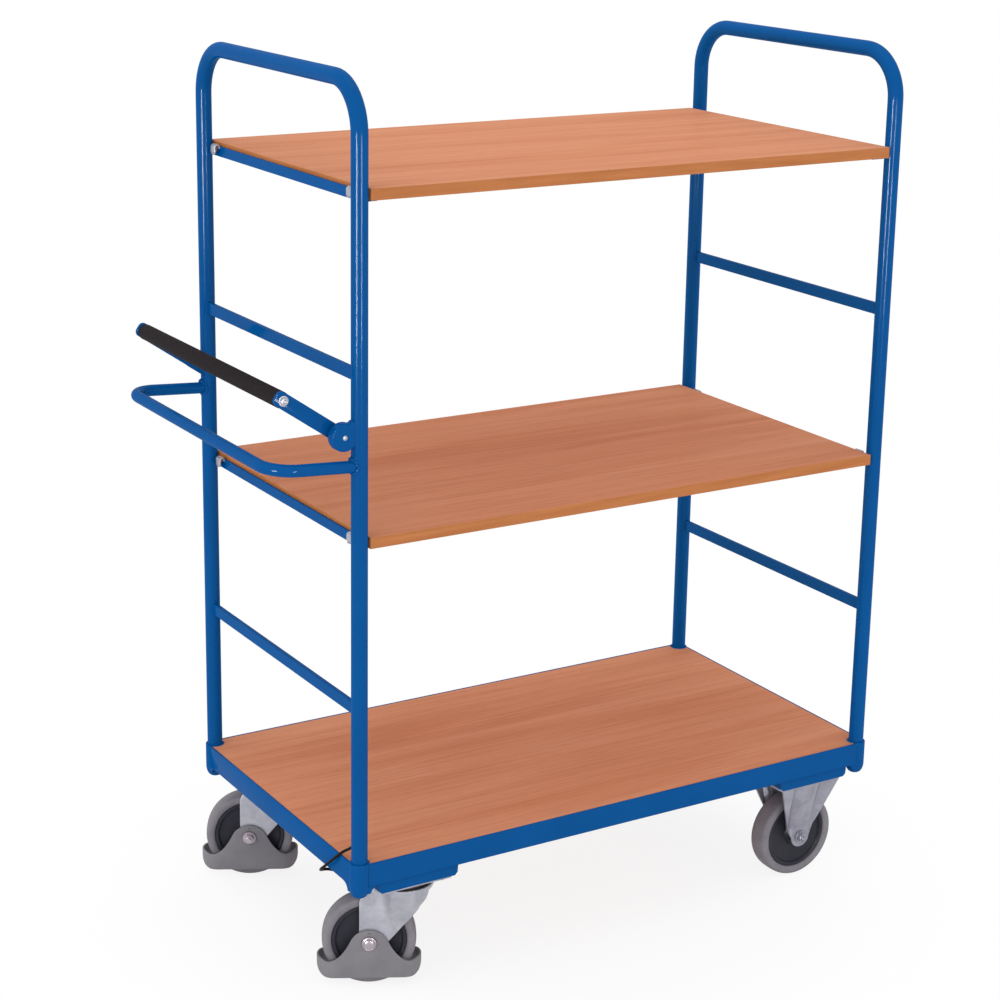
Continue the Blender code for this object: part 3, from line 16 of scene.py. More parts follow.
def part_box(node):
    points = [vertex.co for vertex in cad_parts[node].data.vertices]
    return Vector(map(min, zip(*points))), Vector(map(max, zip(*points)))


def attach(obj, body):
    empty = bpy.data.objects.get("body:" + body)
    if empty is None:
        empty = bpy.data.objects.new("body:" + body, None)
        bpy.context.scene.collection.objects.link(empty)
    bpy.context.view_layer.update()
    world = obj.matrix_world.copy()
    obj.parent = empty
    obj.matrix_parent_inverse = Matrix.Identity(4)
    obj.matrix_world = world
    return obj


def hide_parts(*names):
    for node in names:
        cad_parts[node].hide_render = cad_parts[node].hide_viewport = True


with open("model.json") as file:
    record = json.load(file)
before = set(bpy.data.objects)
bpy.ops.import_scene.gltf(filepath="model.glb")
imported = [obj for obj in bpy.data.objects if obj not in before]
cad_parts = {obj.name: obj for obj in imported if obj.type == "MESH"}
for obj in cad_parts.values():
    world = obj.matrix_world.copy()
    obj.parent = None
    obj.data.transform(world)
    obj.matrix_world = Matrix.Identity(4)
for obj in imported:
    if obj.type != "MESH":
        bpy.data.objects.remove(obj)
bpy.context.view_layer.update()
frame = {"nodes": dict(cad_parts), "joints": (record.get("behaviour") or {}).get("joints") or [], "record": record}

# %% [markdown]
# ## Where things are
#
# Every place below is measured the way a workshop drawing would do it: x from the left posts, y from the
# plane midway between the near and far posts, z from the floor. The two end frames tell where that is.

# %% Find the posts
post_radius = 0.0135
left_low, left_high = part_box("end_frame_left")
right_low, right_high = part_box("end_frame_right")
left_x = (left_low.x + left_high.x) / 2
length = (right_low.x + right_high.x) / 2 - left_x
middle_y = (left_low.y + left_high.y) / 2
half_y = (left_high.y - left_low.y) / 2 - post_radius
SIDES = {"near": -1, "far": 1}
ENDS = {"left": 0.0, "right": length}


def at(x, y, z):
    """A point of the drawing, in the frame that the CAD model stands in."""
    return Vector((left_x + x, middle_y + y, z))


print("posts", round(length, 4), "by", round(2 * half_y, 4))

# %% [markdown]
# ## The camera
#
# The photograph was taken with a long lens, from the pushing end and a little above the top shelf. The
# camera's place, direction and shift were worked out from the posts and the boards' edges.

# %% Set up the camera
# Metres from the foot of the near left post, degrees, millimetres, and shares of the frame's width.
camera_x, camera_y, camera_z = -1.6026, -3.0191, 1.9241
heading, pitch, roll = -31.233, 74.658, 0.880
lens, sensor_width = 82.34, 36
shift_x, shift_y = 0.01442, -0.06648

camera = bpy.data.objects.new("camera", bpy.data.cameras.new("camera"))
bpy.context.scene.collection.objects.link(camera)
camera.matrix_world = (
    Matrix.Translation(at(camera_x, camera_y - half_y, camera_z))
    @ Matrix.Rotation(math.radians(heading), 4, "Z")
    @ Matrix.Rotation(math.radians(pitch), 4, "X")
    @ Matrix.Rotation(math.radians(roll), 4, "Z")
)
camera.data.lens = lens
camera.data.sensor_width = sensor_width
camera.data.shift_x = shift_x
camera.data.shift_y = shift_y
camera.data.clip_end = 50
bpy.context.scene.camera = camera
print("a", lens, "mm lens at", [round(value, 3) for value in camera.matrix_world.translation])

# %% [markdown]
# ## A helper for finishes
#
# A finish is a Principled shader with a few texture nodes in front of it. It starts with one plain colour
# and one plain roughness, and clouds of noise then take their places. The textures read Object
# coordinates, which are metres here, so a scale of 1000 means a pattern about a millimetre across.

# %% Node helpers


class Finish:
    """A material whose nodes are added one at a time."""

    def __init__(self, name, colour, roughness, metallic=0.0):
        self.material = bpy.data.materials.new(name)
        self.material.use_nodes = True
        self.tree = self.material.node_tree
        self.shader = self.tree.nodes["Principled BSDF"]
        self.shader.inputs["Base Color"].default_value = (*colour, 1)
        self.shader.inputs["Roughness"].default_value = roughness
        self.shader.inputs["Metallic"].default_value = metallic
        self.coordinates = self.tree.nodes.new("ShaderNodeTexCoord").outputs["Object"]
        print("finish:", name)

    def node(self, kind, **values):
        """Adds a node and sets what is named, a socket or else a setting of the node."""
        made = self.tree.nodes.new(kind)
        for key, value in values.items():
            if key in made.inputs:
                made.inputs[key].default_value = value
            else:
                setattr(made, key, value)
        return made

    def link(self, output, target):
        self.tree.links.new(output, target)

    def noise(self, scale, detail=3.0, stretch=(1, 1, 1), roughness=0.5, distortion=0.0):
        mapping = self.node("ShaderNodeMapping")
        mapping.inputs["Scale"].default_value = stretch
        self.link(self.coordinates, mapping.inputs["Vector"])
        noise = self.node("ShaderNodeTexNoise")
        noise.inputs["Scale"].default_value = scale
        noise.inputs["Detail"].default_value = detail
        noise.inputs["Roughness"].default_value = roughness
        noise.inputs["Distortion"].default_value = distortion
        self.link(mapping.outputs["Vector"], noise.inputs["Vector"])
        return noise.outputs["Fac"]

    def ramp(self, source, stops):
        """Turns a grey pattern into colours, by (position, colour) stops."""
        ramp = self.node("ShaderNodeValToRGB")
        elements = ramp.color_ramp.elements
        while len(elements) < len(stops):
            elements.new(0.5)
        for element, (position, colour) in zip(elements, stops):
            element.position = position
            element.color = (*colour, 1)
        self.link(source, ramp.inputs["Fac"])
        return ramp.outputs["Color"]

    def mix(self, share, first, second, blend="MIX"):
        mix = self.node("ShaderNodeMix", data_type="RGBA", blend_type=blend)
        for value, socket in ((share, mix.inputs[0]), (first, mix.inputs[6]), (second, mix.inputs[7])):
            if isinstance(value, (int, float)):
                socket.default_value = value
            elif isinstance(value, tuple):
                socket.default_value = (*value, 1)
            else:
                self.link(value, socket)
        return mix.outputs[2]

    def spread(self, source, low, high, start=0.3, end=0.7):
        """Stretches what lies between start and end over low to high."""
        spread = self.node("ShaderNodeMapRange")
        spread.inputs["From Min"].default_value = start
        spread.inputs["From Max"].default_value = end
        spread.inputs["To Min"].default_value = low
        spread.inputs["To Max"].default_value = high
        self.link(source, spread.inputs["Value"])
        return spread.outputs["Result"]

    def bump(self, source, height, below=None):
        bump = self.node("ShaderNodeBump")
        bump.inputs["Distance"].default_value = height
        bump.inputs["Strength"].default_value = 1.0
        self.link(source, bump.inputs["Height"])
        if below:
            self.link(below, bump.inputs["Normal"])
        self.link(bump.outputs["Normal"], self.shader.inputs["Normal"])
        return bump.outputs["Normal"]

    def soft_edges(self, radius):
        """The normal of an edge that looks rounded, though its mesh is sharp."""
        bevel = self.node("ShaderNodeBevel", samples=6)
        bevel.inputs["Radius"].default_value = radius
        return bevel.outputs["Normal"]

    def colour(self, source):
        self.link(source, self.shader.inputs["Base Color"])

    def roughness(self, source):
        self.link(source, self.shader.inputs["Roughness"])

    def clouds(self, scale, detail, dark, light, start=0.3, roughness=0.5):
        """Lets the colour wander between two that are close."""
        pattern = self.noise(scale, detail, roughness=roughness)
        self.colour(self.ramp(pattern, [(start, dark), (1 - start, light)]))

    def uneven(self, scale, low, high):
        """Lets the roughness wander between two values."""
        self.roughness(self.spread(self.noise(scale), low, high))

    def gloss(self, specular, coat=0.0, coat_roughness=0.03):
        """How much the surface shines by itself, and how much by a clear coat over it."""
        self.shader.inputs["Specular IOR Level"].default_value = specular
        self.shader.inputs["Coat Weight"].default_value = coat
        self.shader.inputs["Coat Roughness"].default_value = coat_roughness


# %% [markdown]
# ## Blue powder coat
#
# Powder is sprayed on dry and melted in an oven. It flows into an even, glossy skin that keeps a faint
# orange peel, a ripple a few millimetres wide. Where it gathers the blue is a touch deeper. All its gloss
# comes from a thin clear coat: it draws narrow bright lines and leaves the blue between them deep. The
# folded edges are sharp in the CAD model, so a Bevel node rounds their shading by a millimetre.

# %% Make the powder coat


def powder_coat(name, edge_radius=0.0):
    coat = Finish(name, (0.0005, 0.070, 0.240), 0.14)
    coat.gloss(0.0, coat=0.13, coat_roughness=0.12)
    coat.clouds(9, 2, (0.0003, 0.074, 0.262), (0.0005, 0.083, 0.292), start=0.25)
    coat.uneven(60, 0.11, 0.17)
    edges = coat.soft_edges(edge_radius) if edge_radius else None
    orange_peel = 0.000012
    coat.bump(coat.noise(330, 2), orange_peel, below=edges)
    return coat


folded_edge = 0.0011
powder = powder_coat("blue powder coat", folded_edge)
powder_on_tube = powder_coat("blue powder coat on tube")

# %% [markdown]
# ## Beech laminate
#
# The boards are chipboard under a printed beech paper. Beech has a calm, straight grain with many short
# dark flecks. Three layers make it: broad bands of colour, long thin fibres and the flecks, each a noise
# stretched along x. The sawn edges are covered with a plain band, darker and more orange than the face.

# %% Make the beech
beech = Finish("beech laminate", (0.56, 0.225, 0.115), 0.42)
bands = beech.noise(5.5, 3, (0.22, 3.2, 3.2), 0.55, 0.7)
fibres = beech.noise(70, 6, (0.05, 3.0, 3.0), 0.62, 0.25)
flecks = beech.noise(260, 2, (0.13, 1.6, 1.6), 0.5)
face = beech.ramp(
    bands, [(0.30, (0.550, 0.218, 0.116)), (0.52, (0.603, 0.258, 0.145)), (0.74, (0.636, 0.290, 0.170))]
)
grain = beech.ramp(fibres, [(0.34, (0.80, 0.74, 0.70)), (0.62, (1.04, 1.03, 1.02))])
face = beech.mix(0.50, face, grain, "MULTIPLY")
specks = beech.ramp(flecks, [(0.30, (0.70, 0.62, 0.58)), (0.40, (1, 1, 1))])
face = beech.mix(0.30, face, specks, "MULTIPLY")

# %% [markdown]
# What tells a board's face from its edge is where it looks: a face looks up or down, an edge to the side.
# The upright part of the normal, without its sign, mixes the two colours.

# %% Band the boards' edges
normal = beech.node("ShaderNodeNewGeometry").outputs["Normal"]
split = beech.node("ShaderNodeSeparateXYZ")
beech.link(normal, split.inputs["Vector"])
upright = beech.node("ShaderNodeMath", operation="ABSOLUTE")
beech.link(split.outputs["Z"], upright.inputs[0])
band_grain = beech.noise(45, 4, (0.15, 0.15, 2.4))
band_colour = beech.ramp(band_grain, [(0.3, (0.415, 0.150, 0.050)), (0.7, (0.510, 0.195, 0.074))])
share = beech.spread(upright.outputs[0], 1.0, 0.0, 0.35, 0.75)
beech.colour(beech.mix(share, face, band_colour))
beech.gloss(0.0, coat=0.06, coat_roughness=0.35)
beech.roughness(beech.spread(fibres, 0.38, 0.50))
fibre_relief, board_edge = 0.00005, 0.0008
beech.bump(fibres, fibre_relief, below=beech.soft_edges(board_edge))

# %% [markdown]
# ## Zinc plate
#
# The castor forks are pressed from sheet and then zinc plated. That leaves a bright, cool metal with a
# soft sheen, faint cloudy patches from the bath and very fine lines from the press. The swivel forks are
# bright and the swivel castors' bolt heads a little rosy; the fixed forks and their bolts are darker and
# bluer, which is painted shade under the deck and a bluish painted reflection. One function makes all
# three from three colours, from the darkest cloud to the lightest.

# %% Make the zinc


def zinc_plate(name, dark, middle, light):
    plate = Finish(name, middle, 0.34, 0.40)
    patches = plate.noise(38, 4, roughness=0.6, distortion=0.6)
    plate.colour(plate.ramp(patches, [(0.28, dark), (0.55, middle), (0.80, light)]))
    plate.roughness(plate.spread(patches, 0.28, 0.42))
    press_lines, pressed_edge = 0.00002, 0.0005
    plate.bump(plate.noise(900, 2, (1, 1, 0.15)), press_lines, below=plate.soft_edges(pressed_edge))
    return plate


zinc = zinc_plate("zinc plate", (0.31, 0.312, 0.360), (0.395, 0.40, 0.45), (0.47, 0.468, 0.515))
# Painted shade: a darker, bluer copy of the zinc for the fixed forks and their bolts under the deck.
shaded_zinc = zinc_plate("shaded zinc plate", (0.225, 0.220, 0.265), (0.300, 0.302, 0.362), (0.370, 0.380, 0.455))
rosy_zinc = zinc_plate("rosy zinc plate", (0.330, 0.285, 0.320), (0.400, 0.350, 0.388), (0.470, 0.420, 0.460))

# %% [markdown]
# ## Tyre, hub and pedal
#
# The tyre is grey rubber that leaves no marks on a floor: matt, slightly warm, with fine scuffs that run
# round it. The hub is moulded in dark blue-grey plastic and the pedal ring in a lighter grey, both with
# the even, fine grain that a spark-eroded mould leaves.

# %% Make the rubber and the plastics
rubber = Finish("grey rubber", (0.285, 0.270, 0.288), 0.62)
rubber.clouds(42, 5, (0.185, 0.174, 0.196), (0.232, 0.220, 0.246), roughness=0.65)
rubber.uneven(120, 0.55, 0.72)
rubber.gloss(0.15)
rubber.bump(rubber.noise(1500, 3), 0.00004)

hub_plastic = Finish("dark hub plastic", (0.045, 0.052, 0.068), 0.38)
hub_plastic.clouds(30, 3, (0.026, 0.026, 0.036), (0.036, 0.036, 0.049))
hub_plastic.uneven(220, 0.32, 0.46)
hub_plastic.gloss(0.12)
hub_plastic.bump(hub_plastic.noise(2200, 2), 0.00002)

pedal_plastic = Finish("grey pedal plastic", (0.270, 0.262, 0.276), 0.5)
pedal_plastic.clouds(26, 4, (0.190, 0.182, 0.198), (0.224, 0.215, 0.232), roughness=0.6)
pedal_plastic.uneven(180, 0.44, 0.58)
pedal_plastic.gloss(0.15)
pedal_plastic.bump(pedal_plastic.noise(1800, 2), 0.00005)

# %% [markdown]
# ## Foam, cable and the dark inside the bearing
#
# The grip is black foam: open pores of half a millimetre, brown-black rather than blue-black. The cable's
# sheath is smooth plastic with a dull shine. The ring between the swivel bearing's race and dish is near black.

# %% Make the foam and the sheath
foam = Finish("black foam", (0.020, 0.017, 0.018), 0.88)
foam.clouds(420, 4, (0.007, 0.0045, 0.006), (0.020, 0.014, 0.017), start=0.35, roughness=0.7)
foam.gloss(0.12)
foam.bump(foam.noise(1100, 4, roughness=0.7), 0.00016)

sheath = Finish("black cable sheath", (0.008, 0.008, 0.009), 0.38)
sheath.uneven(140, 0.30, 0.48)
sheath.gloss(0.06)
sheath.bump(sheath.noise(700, 2), 0.00003)

# A near-black finish for the ring in the gap between race and dish.
dark_seal = Finish("dark bearing seal", (0.030, 0.024, 0.024), 0.45)
dark_seal.clouds(160, 3, (0.018, 0.014, 0.014), (0.05, 0.042, 0.042))

# %% [markdown]
# ## The pieces that stay as they are
#
# Boards, flat bars, angles and channels need no new mesh: their solids have the right shape, and their
# finish softens the edges. So every CAD node gets its finish first, by the name of its material, and the
# pieces that are modelled further down then take the place of the others.

# %% Give every CAD node its finish
FINISHES = {
    "blue_powder_coat": powder,
    "beech_laminate": beech,
    "zinc_plate": zinc,
    "grey_tyre": rubber,
    "dark_hub": hub_plastic,
    "pedal_grey": pedal_plastic,
    "black_foam": foam,
    "black_cable": sheath,
}
for subpart in frame["record"]["subparts"]:
    node = frame["nodes"][subpart["node"]]
    node.data.materials.clear()
    node.data.materials.append(FINISHES[subpart["material_slot"]].material)
print(len(frame["nodes"]), "nodes have a finish")

# %% [markdown]
# ## Ways of modelling
#
# A round bar starts as a filled circle that is extruded along its straights and spun round its bends. A
# turned piece starts as a chain of points that is spun once round. A plate starts as the same kind of
# chain, filled and extruded. After each of them the piece is settled: its place goes into its mesh, its
# normals are made to agree, and it rides on the CAD body that carries it.

# %% Pick, edit, push and clean up
hair = 0.0003  # a gap that keeps two faces from lying in one another


def start_clean():
    """Leaves edit mode and deselects everything, because an operator acts on all that is selected."""
    if bpy.context.mode != "OBJECT":
        bpy.ops.object.mode_set(mode="OBJECT")
    bpy.ops.object.select_all(action="DESELECT")


def pick(piece):
    start_clean()
    piece.select_set(True)
    bpy.context.view_layer.objects.active = piece


def edit(piece):
    """Opens a piece for editing with all of it selected."""
    pick(piece)
    bpy.ops.object.mode_set(mode="EDIT")
    bpy.ops.mesh.select_all(action="SELECT")


def push(step):
    """Extrudes what is selected along a step."""
    bpy.ops.mesh.extrude_region_move(TRANSFORM_OT_translate={"value": tuple(step)})


def apply_all(piece):
    pick(piece)
    for modifier in list(piece.modifiers):
        bpy.ops.object.modifier_apply(modifier=modifier.name)
    bpy.ops.object.transform_apply(location=True, rotation=True, scale=True)


def tidy(piece):
    """Merges points that coincide and makes the faces look outwards."""
    apply_all(piece)
    edit(piece)
    bpy.ops.mesh.remove_doubles(threshold=0.000002)
    bpy.ops.mesh.normals_make_consistent(inside=False)
    bpy.ops.object.mode_set(mode="OBJECT")


# %% [markdown]
# The three basic shapes: turned, flat and round-bar. The first two are drawn along z or in their own plane,
# so a helper aims them along any axis.

# %% Turn, fill and extrude


def chain(name, points):
    """A chain of edges through the points, as an object in edit mode."""
    start_clean()
    bpy.ops.mesh.primitive_circle_add(vertices=3, radius=0.001, location=(0, 0, 0))
    piece = bpy.context.object
    piece.name = name
    edit(piece)
    bpy.ops.mesh.merge(type="CENTER")
    places = [Vector(point) for point in points]
    bpy.ops.transform.translate(value=places[0])
    for here, there in zip(places, places[1:]):
        push(there - here)
    return piece


def aim(piece, place, axis):
    """Stands a piece that was made along z at a place, along an axis."""
    turn = Vector((0, 0, 1)).rotation_difference(Vector(axis).normalized()).to_matrix().to_4x4()
    piece.matrix_world = Matrix.Translation(Vector(place)) @ turn @ piece.matrix_world


def turned(name, profile, place, axis, steps=64):
    """Spins (radius, height) pairs once round an axis."""
    piece = chain(name, [(radius, 0, height) for radius, height in profile])
    bpy.ops.mesh.select_all(action="SELECT")
    bpy.ops.mesh.spin(steps=steps, angle=math.tau, center=(0, 0, 0), axis=(0, 0, 1))
    bpy.ops.object.mode_set(mode="OBJECT")
    aim(piece, place, axis)
    tidy(piece)
    return piece


def slab(name, outline, step):
    """Fills an outline and gives it thickness along a step."""
    piece = chain(name, outline)
    bpy.ops.mesh.select_all(action="SELECT")
    bpy.ops.mesh.edge_face_add()
    bpy.ops.mesh.select_all(action="SELECT")
    push(step)
    bpy.ops.object.mode_set(mode="OBJECT")
    tidy(piece)
    return piece


def rod(name, radius, place, axis, sides=32):
    """A filled circle ready to be pushed and bent, in edit mode."""
    start_clean()
    bpy.ops.mesh.primitive_circle_add(vertices=sides, radius=radius, fill_type="NGON", location=(0, 0, 0))
    piece = bpy.context.object
    piece.name = name
    aim(piece, place, axis)
    edit(piece)
    return piece


def bend(centre, axis, degrees, steps=12):
    """Spins the open end of a rod round a bend's centre."""
    bpy.ops.mesh.spin(steps=steps, angle=math.radians(degrees), center=centre, axis=axis)


# %% [markdown]
# The last touches: edges are rounded, holes are cut, and what is welded or screwed together is joined. A
# finished piece is smoothed, gets its finish, and is told which body carries it and which solid it replaces.

# %% Soften, cut, join and settle


def soften(piece, width, segments=2, degrees=35):
    """Rounds every edge that is sharper than some degrees."""
    bevel = piece.modifiers.new("soft edge", "BEVEL")
    bevel.width = width
    bevel.segments = segments
    bevel.limit_method = "ANGLE"
    bevel.angle_limit = math.radians(degrees)
    apply_all(piece)


def cut(piece, tool, operation="DIFFERENCE"):
    """Takes the tool's shape away from the piece, or keeps what they share, and removes the tool."""
    modifier = piece.modifiers.new("cut", "BOOLEAN")
    modifier.operation = operation
    modifier.solver = "EXACT"
    modifier.object = tool
    pick(piece)
    bpy.ops.object.modifier_apply(modifier=modifier.name)
    bpy.data.objects.remove(tool, do_unlink=True)


def joined(name, pieces):
    start_clean()
    for piece in pieces:
        piece.select_set(True)
    bpy.context.view_layer.objects.active = pieces[0]
    bpy.ops.object.join()
    piece = bpy.context.object
    piece.name = name
    return piece


def settle(piece, body, slot, *nodes, finish=None, degrees=32):
    """Smooths a piece, gives it its finish and lets it ride on its body."""
    pick(piece)
    bpy.ops.object.shade_smooth_by_angle(angle=math.radians(degrees))
    piece.data.materials.clear()
    piece.data.materials.append((finish or FINISHES[slot]).material)
    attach(piece, body)
    if nodes:
        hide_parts(*nodes)
    print(piece.name, len(piece.data.polygons), "faces on", body)
    return piece


# %% [markdown]
# ## End frames
#
# Each end frame is one tube: up one post, over the arch and down the other post. A circle of 40 sides is
# pushed up, spun a quarter turn, pushed across, spun again and pushed down.

# %% Bend the two end frames
post_foot_z = 0.2163
arch_z = 1.527
arch_bend = 0.080
post_straight = arch_z - arch_bend - post_foot_z
for end, x in ENDS.items():
    piece = rod(f"end_frame_tube_{end}", post_radius, at(x, -half_y, post_foot_z), (0, 0, 1), 40)
    push((0, 0, post_straight))
    bend(at(x, -half_y + arch_bend, arch_z - arch_bend), (1, 0, 0), 90, 14)
    push((0, 2 * (half_y - arch_bend), 0))
    bend(at(x, half_y - arch_bend, arch_z - arch_bend), (1, 0, 0), 90, 14)
    push((0, 0, -post_straight))
    tidy(piece)
    settle(piece, "frame", "blue_powder_coat", f"end_frame_{end}", finish=powder_on_tube)

# %% [markdown]
# ## Push bow
#
# The bow is a thinner tube, bent twice and welded to the left posts. It rises one centimetre towards the
# hands, so it is modelled flat and then tilted about the line through its two welds.

# %% Bend the push bow
bow_radius = 0.010
bow_z = 0.932
bow_bend = 0.045
bow_out, bow_rise = 0.150, 0.010
bow_reach = math.hypot(bow_out, bow_rise)
bow_tilt = math.atan2(bow_rise, bow_out)
bow = rod("push_bow_tube", bow_radius, at(0, -half_y, bow_z), (-1, 0, 0), 32)
push((bow_bend - bow_reach, 0, 0))
bend(at(bow_bend - bow_reach, bow_bend - half_y, bow_z), (0, 0, 1), 90, 12)
push((0, 2 * (half_y - bow_bend), 0))
bend(at(bow_bend - bow_reach, half_y - bow_bend, bow_z), (0, 0, 1), 90, 12)
push((bow_reach - bow_bend, 0, 0))
tidy(bow)
hinge = Matrix.Translation(at(0, 0, bow_z))
bow.matrix_world = hinge @ Matrix.Rotation(bow_tilt, 4, "Y") @ hinge.inverted()
tidy(bow)
settle(bow, "frame", "blue_powder_coat", "push_bow", finish=powder_on_tube)

# %% [markdown]
# ## Weld beads
#
# A weld is a row of small frozen ripples along the seam, thickest on top where it was easiest to reach. A
# ring is added round the bow's end, laid onto the round post by moving its points, and swollen a little at
# each ripple. A few drops of spatter beside it caught the paint and shine.

# %% Lay the weld beads


def bead(name, z, seam_radius, thickness, ripples, sign):
    """A rippled ring round a bar that meets a left post, lying on the post's surface."""
    start_clean()
    bpy.ops.mesh.primitive_torus_add(
        major_radius=seam_radius, minor_radius=thickness, major_segments=64, minor_segments=10, location=(0, 0, 0)
    )
    ring = bpy.context.object
    ring.name = name
    for vertex in ring.data.vertices:
        turn = math.atan2(vertex.co.y, vertex.co.x)
        middle = Vector((math.cos(turn), math.sin(turn), 0)) * seam_radius
        swell = 1 + 0.16 * math.sin(ripples * turn) + 0.10 * math.sin(3 * turn + 1)
        swell *= 1 + 0.9 * max(math.cos(turn), 0) ** 3
        offset = (vertex.co - middle) * swell
        # The ring lies across x here: its own z becomes the way out of the post.
        across = middle.y
        sink = math.sqrt(max(post_radius**2 - across**2, 0))
        vertex.co = Vector((-sink - offset.z, across + offset.y, middle.x + offset.x))
    ring.matrix_world = Matrix.Translation(at(0, sign * half_y, z))
    tidy(ring)
    return ring


def drop(sign, azimuth, z, size):
    """A flat drop of spatter on a left post, seen at an angle round it and a height."""
    turn = math.radians(azimuth)
    out = Vector((math.cos(turn), math.sin(turn), 0))
    start_clean()
    bpy.ops.mesh.primitive_uv_sphere_add(segments=16, ring_count=8, radius=1, location=(0, 0, 0))
    speck = bpy.context.object
    speck.scale = (size, size * 1.5, size * 0.6)
    apply_all(speck)
    aim(speck, at(0, sign * half_y, z) + out * post_radius, out)
    tidy(speck)
    return speck


# Degrees round the post, height and size of each drop.
spatter = {
    "near": [
        (196, 0.9400, 0.0016), (199, 0.9328, 0.0018), (190, 0.9365, 0.0020), (211, 1.0040, 0.0016),
        (206, 1.0010, 0.0011),
    ],
    "far": [(200, 0.9380, 0.0017), (196, 0.9440, 0.0013), (204, 0.9230, 0.0012)],
}
for side, sign in SIDES.items():
    parts = [bead("bead", bow_z + 0.0009, bow_radius + 0.0010, thickness=0.0024, ripples=15, sign=sign)]
    parts += [drop(sign, azimuth, z, size) for azimuth, z, size in spatter[side]]
    settle(joined(f"bow_weld_{side}", parts), "frame", "blue_powder_coat", degrees=60)

# %% [markdown]
# ## The brake lever's brackets
#
# A thick round boss carries the near end of the lever, and a plain lug the far end, where no cable starts.
# Each widens into its post and is welded there. The outline is drawn as a chain, filled, given its
# thickness and softened.

# %% Draw the brackets' outlines
pivot_x = -0.029
pivot_z = 0.983
boss_width = 0.016
boss_outer = 0.008
boss_radius = 0.0226
boss_top_z = pivot_z + 0.0240
lug_radius = 0.0125
lug_top_z = pivot_z + 0.0130
inside_post_x = -0.006
lever_angle = 34.6
arm_face = 0.0125


def arc(centre, radius, start, end, steps):
    """Points on an arc, from one angle in degrees to another."""
    turns = [math.radians(start + (end - start) * step / steps) for step in range(steps + 1)]
    return [(centre[0] + radius * math.cos(turn), centre[1] + radius * math.sin(turn)) for turn in turns]


near_rim = arc((pivot_x, pivot_z), boss_radius, -48, -296, 44)
near_neck = [(-0.0166, pivot_z + 0.0210), (-0.0142, pivot_z + 0.0232), (-0.0120, boss_top_z)]
far_rim = arc((pivot_x, pivot_z), lug_radius, -90 - lever_angle, -270, 24)
far_foot = far_rim[0][1] - (inside_post_x - far_rim[0][0]) * math.tan(math.radians(lever_angle))
far_neck = [(-0.0150, pivot_z + 0.0125), (-0.0120, lug_top_z)]
bracket_outlines = {
    "near": near_rim + near_neck + [(inside_post_x, boss_top_z), (inside_post_x, near_rim[0][1])],
    "far": far_rim + far_neck + [(inside_post_x, lug_top_z), (inside_post_x, far_foot)],
}
print("near rim", len(near_rim), "points, far rim", len(far_rim))

# %% [markdown]
# A shoulder rivet goes through the bracket and the arm. Its head is a low dome on the bracket's outer face,
# its shoulder fills the gap between bracket and arm, and its tail is flattened behind the arm.

# %% Fill the brackets and set the rivets
dome = [(0.0, 0.0015), (0.0016, 0.0014), (0.0031, 0.0011), (0.0040, 0.0004), (0.0042, -0.0002), (0.003, -0.0002)]
boss_face = -boss_width - 2 * hair
arm_side = -boss_outer - arm_face
shank = [
    (0.003, boss_face), (0.0076, boss_face), (0.008, boss_face - 0.0004), (0.008, arm_side + 0.0004),
    (0.0076, arm_side), (0.003, arm_side), (0.003, arm_side - 0.0056), (0.006, arm_side - 0.0058),
    (0.006, arm_side - 0.0080), (0.0055, arm_side - 0.0086), (0.0, arm_side - 0.0086),
]
for side, sign in SIDES.items():
    outer_y = sign * (half_y + boss_outer)
    outline = [at(x, outer_y, z) for x, z in bracket_outlines[side]]
    boss = slab(f"pivot_boss_{side}", outline, (0, -sign * boss_width, 0))
    soften(boss, 0.0016, 4)
    tidy(boss)
    settle(boss, "frame", "blue_powder_coat", f"pivot_bracket_{side}")
    pin = turned(f"pivot_rivet_{side}", dome + shank, at(pivot_x, outer_y + sign * hair, pivot_z), (0, sign, 0), 40)
    settle(pin, "frame", "zinc_plate", f"pivot_pin_{side}")

# %% [markdown]
# ## Lever arms and grip
#
# The arms are flat bars with a round end at the pivot and softer corners beyond the grip. They are drawn
# level, with the pivot at the origin, and then turned up to where the lever rests. A bolt at each end
# holds the grip.

# %% Make the lever's arms and bolts
lever_length = 0.1155
arm_thickness = 0.005
arm_radius = 0.0125
arm_corner = 0.009
arm_corner_x, arm_corner_z = -0.1215, 0.0035
arm_y = half_y - arm_face - arm_thickness / 2
arm_outer_y = arm_y + arm_thickness / 2
tilt = Matrix.Rotation(math.radians(lever_angle), 4, "Y")
pivot = Matrix.Translation(at(pivot_x, 0, pivot_z))


def on_lever(piece):
    """Turns a piece that was drawn with the lever level, about the pivot."""
    piece.matrix_world = pivot @ tilt @ piece.matrix_world
    tidy(piece)


outline = arc((0, 0), arm_radius, -90, 90, 20)
outline += arc((arm_corner_x, arm_corner_z), arm_corner, 90, 180, 8)
outline += arc((arm_corner_x, -arm_corner_z), arm_corner, 180, 270, 8)
bolt_profile = [
    (0.0, 0.0061), (0.0018, 0.0061), (0.0026, 0.0050), (0.0034, 0.0058), (0.0050, 0.0056), (0.0060, 0.0048),
    (0.0062, 0.0036), (0.0062, 0.0017), (0.0083, 0.0016), (0.0085, 0.0012), (0.0085, 0.0003), (0.004, 0.0003),
    (0.004, -0.0225), (0.0, -0.0225),
]
for side, sign in SIDES.items():
    outer_y = sign * arm_outer_y
    arm = slab(f"lever_bar_{side}", [(x, outer_y, z) for x, z in outline], (0, -sign * arm_thickness, 0))
    soften(arm, 0.0009)
    on_lever(arm)
    settle(arm, "lever", "blue_powder_coat", f"lever_arm_{side}")
    bolt = turned(f"grip_bolt_{side}", bolt_profile, (-lever_length, outer_y, 0), (0, sign, 0), 40)
    on_lever(bolt)
    settle(bolt, "lever", "zinc_plate", f"lever_bolt_{side}")

# %% [markdown]
# The foam sleeve is turned: it bulges very slightly and its ends curl in where the foam was cut.

